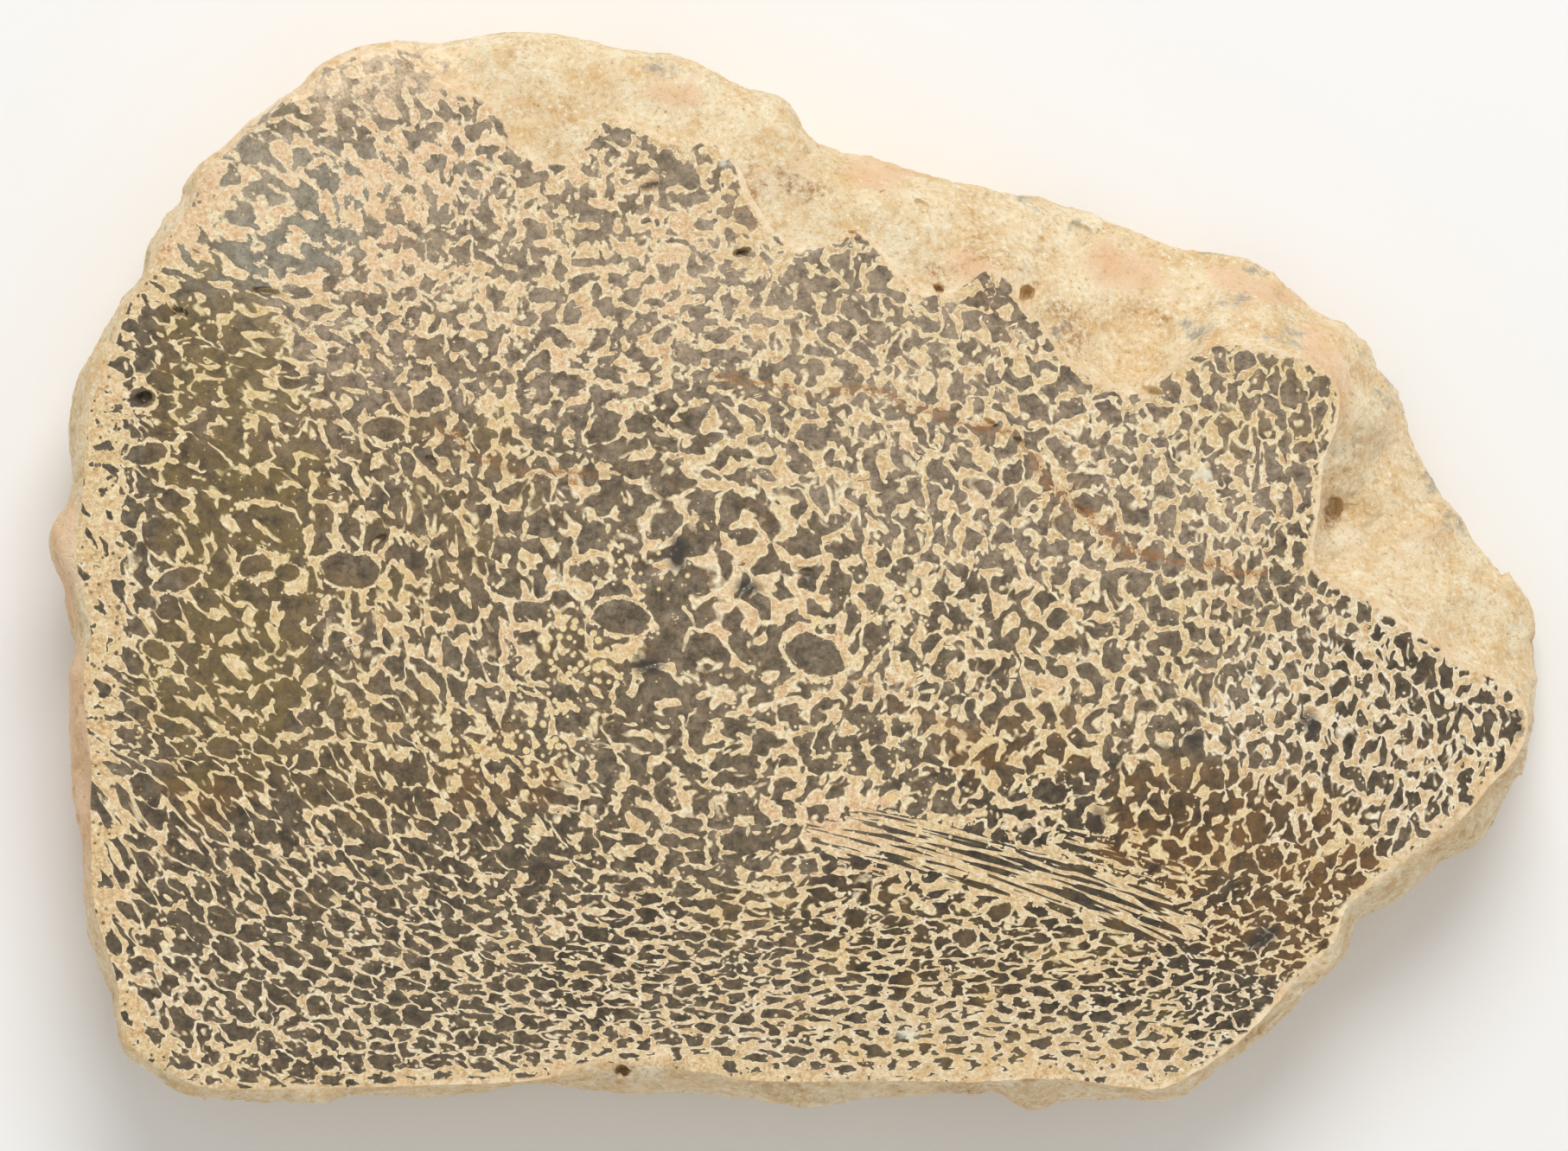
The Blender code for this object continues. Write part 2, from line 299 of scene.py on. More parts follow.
# %% [markdown]
# ## The weathered relief
#
# The rind is crumbly stone: soft lumps a few millimetres wide, crumbs, sandy grains and small
# pores. One rule makes all of it, so a Geometry Nodes tree pushes the shell's points in and out.
# Its inputs are named sizes in millimetres. Near the two sawn edges the push along the normal
# fades to nothing, and only a small sideways chipping stays, so the edges remain in their planes.

# %% Sizes of the relief
RELIEF_SIZES = {
    "Lump Size": 5.2, "Lump Height": 0.70,
    "Crumb Size": 1.3, "Crumb Height": 0.40,
    "Grain Size": 0.55, "Grain Height": 0.16,
    "Pore Spacing": 1.7, "Pore Depth": 0.45,
    "Chip Size": 0.9, "Chip Depth": 0.28,
    "Edge Fade": 0.9,
}
# Detail of each noise, and a shift that keeps it from matching the others.
CLOUDS = {"Lump": (1.0, 0.0), "Crumb": (2.0, 31.0), "Grain": (1.0, 57.0), "Chip": (1.0, 83.0)}
PORE_WALL = (0.12, 0.34, 1.0, 0.0)
SIDEWAYS = (1.0, 1.0, 0.0)
print("sizes of the relief:", len(RELIEF_SIZES))


# %% Build the relief tree
def relief_sockets(tree):
    """Gives a tree its named inputs and its one output."""
    kinds = {"Geometry": "Geometry", **dict.fromkeys([*RELIEF_SIZES, "Top"], "Float"), "Stone": "Material"}
    for label, kind in kinds.items():
        tree.interface.new_socket(label, in_out="INPUT", socket_type="NodeSocket" + kind)
    tree.interface.new_socket("Geometry", in_out="OUTPUT", socket_type="NodeSocketGeometry")


def relief_move(w, given, place):
    """Millimetres that each point moves: bumps and pores along the normal, chips sideways."""
    def clouds(name, output=FACTOR):
        detail, shift = CLOUDS[name]
        return w.noise(w.vector("ADD", place, (shift,) * 3), given[name + " Size"], detail, output=output)

    push = 0.0
    for name in ("Lump", "Crumb", "Grain"):
        push = w.plus(push, w.times(w.minus(clouds(name), 0.5), given[name + " Height"]))
    pores = w.spread(w.cells(place, given["Pore Spacing"], dimensions="3D"), *PORE_WALL)
    push = w.minus(push, w.times(pores, given["Pore Depth"]))
    height = w.fed("ShaderNodeSeparateXYZ", {0: place})["Z"]
    fade = w.spread(w.smaller(w.minus(given["Top"], height), height), 0.0, given["Edge Fade"])
    outward = w.scaled(w.node("GeometryNodeInputNormal").outputs[0], w.times(push, fade))
    chips = w.vector("SUBTRACT", clouds("Chip", COLOUR), HALF)
    chips = w.vector("MULTIPLY", w.scaled(chips, given["Chip Depth"]), SIDEWAYS)
    return w.vector("ADD", outward, chips)


def relief_tree():
    """A geometry tree that weathers the side shell."""
    tree = bpy.data.node_groups.new("weathered_relief", "GeometryNodeTree")
    relief_sockets(tree)
    w = Wiring(tree)
    given = w.node("NodeGroupInput").outputs
    place = w.scaled(w.node("GeometryNodeInputPosition").outputs[0], 1 / MM)
    move = w.scaled(relief_move(w, given, place), MM)
    pushed = w.fed("GeometryNodeSetPosition", {"Geometry": given["Geometry"], "Offset": move})[0]
    real = w.fed("GeometryNodeRealizeInstances", {0: pushed})[0]
    stone = w.fed("GeometryNodeSetMaterial", {"Geometry": real, "Material": given["Stone"]})[0]
    w.feed(w.node("NodeGroupOutput").inputs[0], stone)
    return tree


relief = relief_tree()
print("relief tree:", len(relief.nodes), "nodes")


# %% Weather the shell
def weather(modifier):
    """Gives a modifier the relief tree, and its sockets the named sizes."""
    modifier.node_group = relief
    values = {**RELIEF_SIZES, "Top": TOP / MM, "Stone": rind}
    for socket in relief.interface.items_tree:
        if socket.in_out == "INPUT" and socket.name in values:
            modifier[socket.identifier] = values[socket.name]


polish = bpy.data.materials.new("polished_cut")
rind = bpy.data.materials.new("weathered_rind")
back = bpy.data.materials.new("sawn_back")
shell = changed(shell, "weathered_side", "NODES", weather)
print("weathered side:", len(shell.polygons), "faces")

# %% [markdown]
# ## Fill the sawn faces
#
# The open rims of the shell bound the two flat faces. Points on a triangular grid inside them,
# joined by a Delaunay net, give even triangles. Small real openings in the cut face get a closer
# grid, and their points are then pushed down.

# %% Openings in the cut face
# Each as pixel, half length, half width, turn in degrees, depth in millimetres.
OPENINGS = (
    (308, 337, 17, 4, 8, 0.7), (208, 360, 10, 4, 20, 0.6), (752, 215, 13, 4, -15, 0.6),
    (1146, 489, 10, 3, 30, 0.6), (1180, 510, 9, 4, 30, 0.6), (1247, 588, 9, 4, 40, 0.5),
    (500, 532, 9, 4, 30, 0.5), (437, 625, 12, 4, -30, 0.5), (930, 660, 12, 5, 10, 0.5),
    (660, 560, 10, 3, 0, 0.4), (985, 268, 8, 3, 25, 0.4),
)


def turned(px, py, spot):
    """Places in a spot's own turned frame, as parts of its half length and half width."""
    x, y, half_length, half_width, turn = spot[:5]
    angle = math.radians(turn)
    along = (px - x) * math.cos(angle) + (py - y) * math.sin(angle)
    across = (py - y) * math.cos(angle) - (px - x) * math.sin(angle)
    return along / half_length, across / half_width


print("openings:", len(OPENINGS))


# %% Rims of the shell
def rims(mesh, height):
    """The closed rims of the shell at one height, as lists of point numbers, the longest first."""
    counts = {}
    for polygon in mesh.polygons:
        for pair in polygon.edge_keys:
            counts[pair] = counts.get(pair, 0) + 1
    neighbours = {}
    for (a, b), count in counts.items():
        if count == 1 and abs(mesh.vertices[a].co.z - height) < NEAR:
            neighbours.setdefault(a, []).append(b)
            neighbours.setdefault(b, []).append(a)
    loops = []
    while neighbours:
        start = next(iter(neighbours))
        loop = [start]
        while True:
            onward = [n for n in neighbours[loop[-1]] if n in neighbours and n not in loop[-2:]]
            onward = [n for n in onward if n == start or n not in loop]
            if not onward or onward[0] == start:
                break
            loop.append(onward[0])
        for point in loop:
            del neighbours[point]
        loops.append(loop)
    return sorted(loops, key=len, reverse=True)


def within(points, ring):
    """True for each point inside a closed ring, counted by crossings."""
    inside = np.zeros(len(points), bool)
    for (x0, y0), (x1, y1) in zip(ring, np.roll(ring, -1, axis=0)):
        crosses = (y0 > points[:, 1]) != (y1 > points[:, 1])
        if y0 != y1:
            inside ^= crosses & (points[:, 0] < x0 + (points[:, 1] - y0) * (x1 - x0) / (y1 - y0))
    return inside


front_rims = rims(shell, TOP)
outer_rim = np.array([shell.vertices[i].co[:2] for i in front_rims[0]])
print("points on the outer rim:", len(outer_rim), "and pits that meet the cut face:", len(front_rims) - 1)

# %% Grid points over a face
PIT_GRID = 0.22
CLEAR_OF_RIM = 0.45
PIT_CLEARANCE = PIT_GRID * 0.7
# The close grid of an opening and the coarse grid round it end at these parts of its half length.
CLOSE_END, COARSE_END = 1.5, 1.7
ROW_HEIGHT = math.sqrt(0.75)


def grid(low, high, spacing):
    """Points of a triangular grid over a box."""
    rows = np.arange(low[1], high[1], spacing * ROW_HEIGHT)
    columns = np.arange(low[0], high[0], spacing)
    return np.array([(x + spacing / 2 * (row % 2), y) for row, y in enumerate(rows) for x in columns])


def clear_of(points, others, gap):
    """The points that stay a gap away from all the others."""
    keep = np.ones(len(points), bool)
    for other in others:
        keep &= np.hypot(points[:, 0] - other[0], points[:, 1] - other[1]) > gap
    return points[keep]


def face_points(rings, spacing, closer=()):
    """Grid points inside the first ring and outside the others, closer together at openings."""
    outer = rings[0]
    points = grid(outer.min(axis=0), outer.max(axis=0), spacing)
    points = points[within(points, outer)]
    points = clear_of(points, np.concatenate(rings), min(CLEAR_OF_RIM, spacing / 2))
    for spot in closer:
        reach = max(spot[2:4]) * PIXEL_MM + PIT_GRID
        middle = np.array(slab_mm(spot[:2]))
        near = grid(middle - reach, middle + reach, PIT_GRID)
        near = near[np.hypot(*turned(*photo_pixels(near * MM), spot)) < CLOSE_END]
        far = np.hypot(*turned(*photo_pixels(points * MM), spot)) > COARSE_END
        points = np.concatenate([points[far], near])
    points = points[within(points, outer)]
    for ring in rings[1:]:
        points = points[~within(points, ring)]
    return clear_of(points, np.concatenate(rings), PIT_CLEARANCE)


print("grid at openings:", PIT_GRID, "mm")

# %% Nets over the two faces
FACE_GRID = 0.80
BACK_GRID = 1.8
INSIDE_ONLY, SAME_POINT = 1, 1e-7


def fill(mesh, loops, spacing, closer=()):
    """New points and triangles for one flat face: triangles hold numbers of old and new points."""
    coordinates = np.array([v.co[:2] for v in mesh.vertices]) / MM
    rings = [coordinates[loop] for loop in loops]
    points = face_points(rings, spacing, closer)
    old = [number for loop in loops for number in loop]
    first_new = len(mesh.vertices) - len(old)
    edges, ring_of, start = [], {}, 0
    for index, loop in enumerate(loops):
        edges += [(start + i, start + (i + 1) % len(loop)) for i in range(len(loop))]
        ring_of.update(dict.fromkeys(range(start, start + len(loop)), index))
        start += len(loop)
    flat = [tuple(p) for p in np.concatenate([*rings, points])]
    made = delaunay_2d_cdt(flat, edges, [list(range(len(loops[0])))], INSIDE_ONLY, SAME_POINT)
    triangles = []
    for face in made[2]:
        corners = [made[3][i][0] for i in face]
        touched = {ring_of.get(c) for c in corners}
        in_a_hole = len(touched) == 1 and touched.isdisjoint((None, 0))
        if not in_a_hole:
            triangles.append([old[c] if c < len(old) else c + first_new for c in corners])
    return points, triangles


front_points, front_triangles = fill(shell, front_rims, FACE_GRID, OPENINGS)
back_points, back_triangles = fill(shell, rims(shell, 0.0), BACK_GRID)
print("cut face:", len(front_triangles), "triangles; back:", len(back_triangles))

# %% [markdown]
# ## One closed piece
#
# The weathered side and the two filled faces share their rim points, so they join into one closed
# mesh with three finishes. The openings are pushed down here, as small bowls in the cut face. At
# the upper left the rim is ground off, so the net of bone runs on a little way down the side.

# %% Bowls, and where the net of bone shows on the side
# Stretches of rim that are ground off: pixel, half length, half width, turn in degrees.
WORN_RIM = ((440, 85, 95, 34, -12), (300, 160, 70, 40, -45))
WORN_WOBBLE, WOBBLE_PIXELS = 0.35, (6, 5)
PIT_FACING = 0.1


def bowls(points):
    """How far down each point of the cut face goes, in metres."""
    px, py = photo_pixels(points * MM)
    depth = np.zeros(len(points))
    for spot in OPENINGS:
        out = np.hypot(*turned(px, py, spot))
        depth = np.maximum(depth, spot[5] * MM * np.sqrt(np.clip(1 - out ** 2, 0, 1)))
    return depth


def shows_net(side):
    """True for each face of the side in a pit of the cut face, or where the rim is ground off."""
    centres = np.array([p.center[:] for p in side.polygons])
    px, py = photo_pixels(centres)
    wobble = WORN_WOBBLE * np.sin(px / WOBBLE_PIXELS[0]) * np.sin(py / WOBBLE_PIXELS[1])
    worn = np.any([np.hypot(*turned(px, py, spot)) + wobble < 1 for spot in WORN_RIM], axis=0)
    looks_up = np.array([p.normal.z for p in side.polygons]) > PIT_FACING
    return (worn | (within(centres, outer_rim) & looks_up)) & (centres[:, 2] > TOP / 2)


print("deepest bowl:", round(bowls(front_points).max() / MM, 2), "mm")

# %% Join the side and the faces
POLISH, RIND, BACK = 0, 1, 2
SHARP_DEGREES = 50


def joined(side, name):
    """The whole slab as one mesh."""
    old = np.array([v.co[:] for v in side.vertices])
    front = np.column_stack([front_points * MM, TOP - bowls(front_points)])
    rear = np.column_stack([back_points * MM, np.zeros(len(back_points))])
    shift = len(front_points)
    rear_triangles = [[c if c < len(old) else c + shift for c in reversed(t)] for t in back_triangles]
    faces = [list(p.vertices) for p in side.polygons] + front_triangles + rear_triangles
    mesh = bpy.data.meshes.new(name)
    mesh.from_pydata(np.concatenate([old, front, rear]).tolist(), [], faces)
    finish = np.where(shows_net(side), POLISH, RIND).tolist()
    finish += [POLISH] * len(front_triangles) + [BACK] * len(rear_triangles)
    mesh.polygons.foreach_set("material_index", finish)
    for material in (polish, rind, back):
        mesh.materials.append(material)
    mesh.shade_smooth()
    mesh.set_sharp_from_angle(angle=math.radians(SHARP_DEGREES))
    mesh.validate()
    return mesh


slab_mesh = joined(shell, "petrified_bone_slab")
points = np.array([v.co[:] for v in slab_mesh.vertices])
photo_x, photo_y = photo_pixels(points)
print("dressed slab:", sum(len(p.vertices) - 2 for p in slab_mesh.polygons), "triangles")

# %% [markdown]
# ## Maps of the stone
#
# Where the bone is close or open, where iron has stained it, where pale dust sits on it, and where
# it turns compact, is a matter of place and not of rule. Each map is a base value and a few soft
# turned ellipses that raise or lower it. The maps are worked out at the mesh's corner points and
# stored there, and the shaders break their smooth borders up with noise.

# %% Maps, each spot as pixel, half length, half width, turn in degrees, and amount
MAPS = {
    "fill": (0.07, (
        (620, 300, 290, 150, 0, 0.07), (330, 210, 180, 100, -25, 0.04), (480, 110, 90, 40, 0, 0.05),
        (750, 110, 150, 50, 10, 0.3), (1300, 420, 150, 60, 25, 0.15), (1130, 600, 330, 220, 0, 0.16),
        (1600, 830, 170, 170, 0, 0.2), (1050, 1215, 400, 40, 2, 0.25), (1150, 1000, 260, 60, 10, 0.1),
        (1150, 1160, 290, 70, 0, 0.24), (800, 1130, 260, 110, 0, 0.19), (1160, 1060, 200, 50, 5, 0.1),
        (300, 1080, 280, 170, 0, 0.07), (1600, 860, 150, 130, 0, 0.06), (1450, 620, 150, 150, 0, 0.05),
        (270, 640, 120, 330, -8, -0.17), (760, 690, 140, 100, 0, -0.1), (430, 1040, 280, 130, 10, -0.1),
        (430, 720, 60, 30, 0, 0.4), (560, 760, 60, 40, 0, 0.2), (960, 940, 60, 50, 10, 0.4),
        (1180, 1010, 240, 46, 16, 0.44), (1130, 1010, 200, 36, 14, 0.32), (1180, 1200, 210, 50, 2, 0.32),
        (1450, 1050, 150, 150, 0, -0.05), (450, 85, 100, 40, 0, 0.12), (340, 1130, 300, 120, 0, 0.05))),
    "thinness": (3.2, (
        (620, 310, 280, 170, 0, -0.9), (820, 690, 220, 130, 10, -0.6), (330, 220, 190, 120, -25, -1.1),
        (1180, 780, 260, 140, 0, -0.6), (1600, 830, 150, 150, 0, -0.5))),
    "unbroken": (0.0, (
        (300, 1050, 300, 200, 0, 0.65), (800, 1160, 420, 110, 0, 0.65), (1230, 1150, 260, 110, 0, 0.65),
        (1630, 880, 140, 150, 0, 0.6), (1450, 1000, 170, 110, 20, 0.35), (150, 660, 60, 280, 0, 0.4),
        (1560, 470, 110, 90, 0, 0.6), (1420, 690, 140, 110, 0, 0.6), (1150, 850, 150, 90, 0, 0.3),
        (310, 240, 130, 80, -20, 0.55))),
    "dusty": (0.0, (
        (450, 85, 110, 46, -10, 0.4), (310, 165, 110, 70, -40, 0.12), (640, 250, 260, 130, 0, 0.08),
        (350, 240, 170, 110, 0, 0.05), (1000, 380, 160, 90, 20, 0.08))),
    "frayed": (0.5, (
        (620, 310, 300, 180, 0, 1.6), (330, 210, 190, 120, -25, 1.8), (1000, 380, 220, 130, 15, 0.4),
        (1450, 560, 170, 180, 0, -0.25), (1180, 1010, 240, 50, 17, 0.5), (1150, 1215, 300, 50, 0, 0.7),
        (280, 620, 110, 300, -8, -0.3), (90, 700, 70, 360, 0, 0.8))),
    "patchy": (0.9, (
        (620, 330, 300, 200, 0, 1.3), (330, 210, 190, 120, -25, 0.8), (820, 690, 260, 160, 10, 0.6),
        (1180, 1010, 240, 50, 17, 1.3), (1180, 640, 300, 240, 0, 0.3))),
    "tone": (0.0, (
        (450, 85, 110, 45, 0, 0.9), (1180, 1190, 260, 60, 0, -0.3), (600, 300, 330, 190, 0, 0.6),
        (330, 230, 190, 130, -25, 0.1), (1150, 430, 400, 230, 15, 0.65), (330, 440, 140, 90, 0, 0.3),
        (1400, 740, 160, 100, 0, 0.2), (640, 560, 200, 80, 0, 0.2), (420, 1060, 360, 200, 0, -0.4),
        (1180, 1060, 250, 110, 5, -0.9), (1450, 1060, 180, 160, 0, -0.7), (1240, 920, 160, 60, 15, -0.6),
        (1640, 830, 140, 120, 0, -0.65), (220, 640, 110, 320, -8, -0.15), (850, 1130, 220, 110, 0, -0.4),
        (880, 700, 220, 140, 0, 0.15))),
    "olive": (0.0, (
        (275, 560, 90, 280, -8, 0.95), (240, 800, 80, 110, 0, 0.9), (400, 860, 130, 90, 0, 0.45),
        (480, 560, 140, 180, 0, 0.35), (845, 195, 30, 20, 0, 0.8), (1150, 1180, 250, 60, 0, 0.3),
        (1440, 470, 120, 60, 0, 0.35), (1090, 1060, 280, 70, 0, 0.3), (690, 780, 60, 60, 0, 0.4))),
    "amber": (0.0, (
        (1440, 1000, 190, 110, 20, 0.75), (520, 890, 130, 60, 0, 0.5), (1560, 1040, 90, 60, -40, 0.5),
        (1180, 860, 90, 50, 0, 0.45), (862, 215, 26, 50, 0, 0.9), (250, 900, 60, 50, 0, 0.8),
        (1155, 325, 40, 30, 0, 0.7), (235, 760, 60, 60, 0, 0.7), (450, 260, 40, 26, -30, 0.7),
        (1240, 590, 60, 30, 40, 0.6))),
    "pink": (0.15, (
        (380, 190, 220, 130, -20, 0.9), (620, 340, 240, 180, 0, 0.4), (860, 700, 160, 80, 0, 0.45),
        (960, 960, 90, 60, 10, 0.6), (560, 720, 80, 60, 0, 0.4), (270, 640, 120, 330, -8, -0.15))),
    "pale": (0.2, (
        (1600, 850, 200, 170, 0, 0.8), (1150, 1195, 330, 60, 0, 0.8), (1190, 1205, 190, 44, 2, 0.4),
        (1130, 1040, 250, 80, 0, 0.4), (1480, 1120, 130, 120, 0, 0.5), (560, 1140, 400, 100, 0, 0.4),
        (1320, 560, 160, 110, 0, 0.3))),
    "blue_grey": (0.0, (
        (300, 240, 150, 90, 0, 0.8), (500, 200, 90, 60, 0, 0.3), (250, 330, 60, 40, 0, 0.4))),
    "dotted": (-0.02, (
        (660, 760, 70, 60, 0, 0.34), (750, 650, 60, 40, 0, 0.28), (1000, 700, 80, 60, 0, 0.24),
        (560, 850, 90, 50, 0, 0.26), (1060, 940, 70, 50, 0, 0.24), (300, 560, 120, 180, 0, 0.07),
        (640, 880, 60, 40, 0, 0.2), (1000, 860, 60, 40, 0, 0.2), (880, 800, 90, 50, 0, 0.08),
        (600, 300, 300, 200, 0, -0.06), (400, 1050, 330, 200, 0, 0.03))),
    "fibrous": (0.0, (
        (1190, 1015, 220, 32, 18, 0.85), (1020, 975, 90, 30, 8, 0.7), (1300, 1000, 90, 34, 24, 0.5))),
}
print("spots on the maps:", sum(len(spots) for base, spots in MAPS.values()))

# %% Single cells, blots and painted pit shade, quartz and compact bone, each spot as pixel, half length, half width and turn
# Large closed cells have a wall of their own.
CLOSED_CELLS = (
    (405, 660, 36, 20, 8), (205, 670, 30, 11, -18), (180, 752, 17, 11, 25), (163, 460, 18, 11, 5),
    (170, 525, 24, 12, -15), (293, 655, 17, 12, -20), (332, 662, 15, 11, -10), (445, 496, 24, 14, 0),
    (942, 758, 36, 22, 22), (720, 715, 34, 18, 10), (1215, 915, 20, 15, 10), (990, 1060, 16, 12, 0),
    (1155, 1055, 15, 9, -20), (1115, 1085, 13, 10, 0), (1420, 1210, 14, 9, -30), (260, 865, 22, 11, 10),
)
# Soft black blots: dark spots in the agate, and painted shade inside the openings and the pits of the
# solid.
DARK_BLOTS_AND_PIT_SHADE = (
    (785, 640, 13, 24, 10), (865, 680, 17, 12, 0), (750, 770, 20, 12, 0), (1270, 950, 10, 18, 0),
    (1460, 1085, 26, 10, -35), (1765, 840, 10, 26, 0), (1515, 835, 12, 15, 0), (1380, 855, 14, 9, 0),
    (859, 292, 12, 5, 20), (1326, 451, 12, 6, 0), (1187, 339, 9, 6, 30), (1086, 334, 9, 6, 0),
    (166, 459, 11, 7, 0), (308, 337, 17, 5, 8), (208, 360, 10, 5, 20), (752, 215, 13, 5, -15),
)
# White quartz fills three cells.
CRYSTALS = ((1392, 548, 13, 9, -20), (1050, 1198, 15, 8, 0), (840, 190, 10, 6, 0))
# Compact bone grows inward from the rim: a spot, and its width in millimetres.
COMPACT_RIM = (
    (80, 600, 70, 330, 0, 6.5), (90, 960, 60, 160, 0, 4.0), (160, 1200, 90, 60, 0, 2.5),
    (900, 1250, 500, 40, 0, 2.0), (1240, 1260, 200, 40, 0, 3.0), (220, 260, 100, 110, -40, 3.0),
    (1700, 940, 120, 60, -45, 1.5),
)
print("closed cells:", len(CLOSED_CELLS), "and blots:", len(DARK_BLOTS_AND_PIT_SHADE))

# %% Work the maps out and store them
MAP_SOFT_MM = 3.0
REACH_MM = 6.0


def inside(spots):
    """Millimetres inside the nearest of some spots, negative outside them."""
    best = np.full(len(points), -REACH_MM)
    for spot in spots:
        part = np.hypot(*turned(photo_x, photo_y, spot)) + NEAR
        away = np.hypot(photo_x - spot[0], photo_y - spot[1]) * PIXEL_MM
        best = np.maximum(best, np.minimum((1 - part) / part * away, min(spot[2:4]) * PIXEL_MM))
    return best


def share_inside(spot):
    """One inside a spot and nothing outside, with a ramp across its border."""
    return np.clip(0.5 + inside([spot]) / MAP_SOFT_MM, 0, 1)


def soft_map(base, spots):
    """The base value, moved by each spot's amount inside the spot and fading out past its border."""
    total = np.full(len(points), base)
    for spot in spots:
        share = share_inside(spot)
        total += spot[5] * share * share * (3 - 2 * share)
    return total


def store(name, values):
    """Keeps one value for each corner point of the slab, for the shaders to read."""
    kind, field = ("FLOAT_VECTOR", "vector") if values.ndim == 2 else ("FLOAT", "value")
    slab_mesh.attributes.new(name, kind, "POINT").data.foreach_set(field, values.astype(np.float32).ravel())


for name, (base, spots) in MAPS.items():
    store(name, soft_map(base, spots))
for name, spots in (("closed_cell", CLOSED_CELLS), ("blot_and_pit_shade", DARK_BLOTS_AND_PIT_SHADE), ("crystal", CRYSTALS)):
    store(name, inside(spots))
print("maps:", ", ".join(MAPS))

# %% Compact bone, and the end of the ground rim
# All round the rim a thin skin is half compact.
SKIN_MM, SKIN_SHARE = 1.0, 0.5
# Down the ground rim the net ends in crust, towards the ends of each stretch and at a depth.
WORN_FADE = (1.3, 1.1)
WORN_DEPTH = 2.4


def compact_share():
    """How compact the bone is: one at the rim, nothing at the end of each stretch's own width."""
    distance = np.full(len(points), REACH_MM)
    for x, y in outer_rim / MM:
        distance = np.minimum(distance, np.hypot(points[:, 0] / MM - x, points[:, 1] / MM - y))
    share = np.clip(1 - distance / SKIN_MM, 0, 1) * SKIN_SHARE
    for spot in COMPACT_RIM:
        share = np.maximum(share, share_inside(spot) * np.clip(1 - distance / spot[5], 0, 1))
    return np.where(inside(WORN_RIM) > 0, 0.0, share)


def worn_end():
    """How far the ground rim has turned into crust, nothing on the cut face itself."""
    depth = (TOP - points[:, 2]) / MM
    crusted = np.maximum(WORN_FADE[0] - inside(WORN_RIM) / WORN_FADE[1], depth / WORN_DEPTH - 0.5)
    return np.where(within(points, outer_rim), 0, np.clip(crusted, 0, 1))


store("compact", compact_share())
store("worn_end", worn_end())
print("compact bone along", len(COMPACT_RIM), "stretches of the rim")

# %% [markdown]
# ## Veins and cracks
#
# A rusty seam and a few hairline cracks cross the cut face. Each is a line through a few points,
# and what is stored is the distance to its left or right, which stays smooth across the line, so
# a shader can draw it far finer than the mesh.

# %% Seams: strength, and the pixels they pass
SEAMS = (
    (0.85, ((850, 440), (930, 452), (1000, 452), (1080, 478), (1180, 512))),
    (1.0, ((1180, 512), (1215, 560), (1255, 595), (1300, 638), (1365, 650), (1440, 662))),
    (0.7, ((520, 505), (560, 532), (600, 545), (645, 550), (690, 548))),
    (0.6, ((1010, 800), (1060, 822), (1110, 846))),
)
SEAM_REACH_MM = 2.5


def to_seam(x, y, places):
    """Signed millimetres to a line through places, and how near a point is to it, 0 to 1."""
    line = np.array([slab_mm(place) for place in places])
    side, best = np.full(len(x), REACH_MM), np.full(len(x), REACH_MM)
    for (ax, ay), (bx, by) in zip(line, line[1:]):
        length = math.hypot(bx - ax, by - ay)
        along = ((x - ax) * (bx - ax) + (y - ay) * (by - ay)) / length
        across = ((x - ax) * (by - ay) - (y - ay) * (bx - ax)) / length
        away = np.hypot(across, np.maximum(0, np.maximum(-along, along - length)))
        side, best = np.where(away < best, across, side), np.minimum(away, best)
    return side, np.clip(2 - 2 * best / SEAM_REACH_MM, 0, 1)


def seam_maps(x, y):
    """Signed millimetres to the strongest seam near each point, and its strength there."""
    side, strength = np.full(len(x), REACH_MM), np.zeros(len(x))
    for force, places in SEAMS:
        across, near = to_seam(x, y, places)
        nearer = force * near > strength
        side, strength = np.where(nearer, across, side), np.where(nearer, force * near, strength)
    return side, strength


millimetres = (points / MM).T
for name, values in zip(("seam", "seam_strength"), seam_maps(*millimetres[:2])):
    store(name, values)
print("seams:", len(SEAMS))

# %% [markdown]
# ## The grain of growth
#
# Bone grows along lines of load, so its struts are close and level along the bottom, lean at the
# lower left, stand more upright towards the top and open up in the middle. The net of struts is
# therefore not laid out in plain millimetres but in stretched ones. Where the stretch is above
# one, the cells come out smaller. In the band of fibres at the lower right the same net, turned
# and drawn out, becomes long slits.

# %% Stretched coordinates for the net
LEAN_FROM, LEAN_OVER, LEAN = 5.0, 30.0, 0.38
LEVEL_FROM, LEVEL_OVER = 44.0, 26.0
UPRIGHT_FROM, UPRIGHT_OVER, UPRIGHT = 5.0, 35.0, 0.6
CLOSE_FROM, CLOSE_OVER, CLOSE = 22.0, 12.0, 1.2
NARROW, NARROW_FROM_X, NARROW_FROM_Y, NARROW_OVER = 0.13, -5.0, 16.0, 30.0
RIGHT_FROM, RIGHT_OVER, RIGHT = 30.0, 12.0, 0.35
# Wider cells in the middle, at the left and at the upper left: pixel, radius, stretch.
WIDE_CELLS = (((800, 680), 18.0, 0.72), ((270, 600), 13.0, 0.76), ((310, 240), 12.0, 0.58))


def ramped(distance, start, length, gain):
    """Extra length won by a stretch that grows from nothing at start to gain over a length."""
    part = np.clip((distance - start) / length, 0, None)
    return gain * length * np.where(part < 1, part ** 2 / 2, part - 0.5)


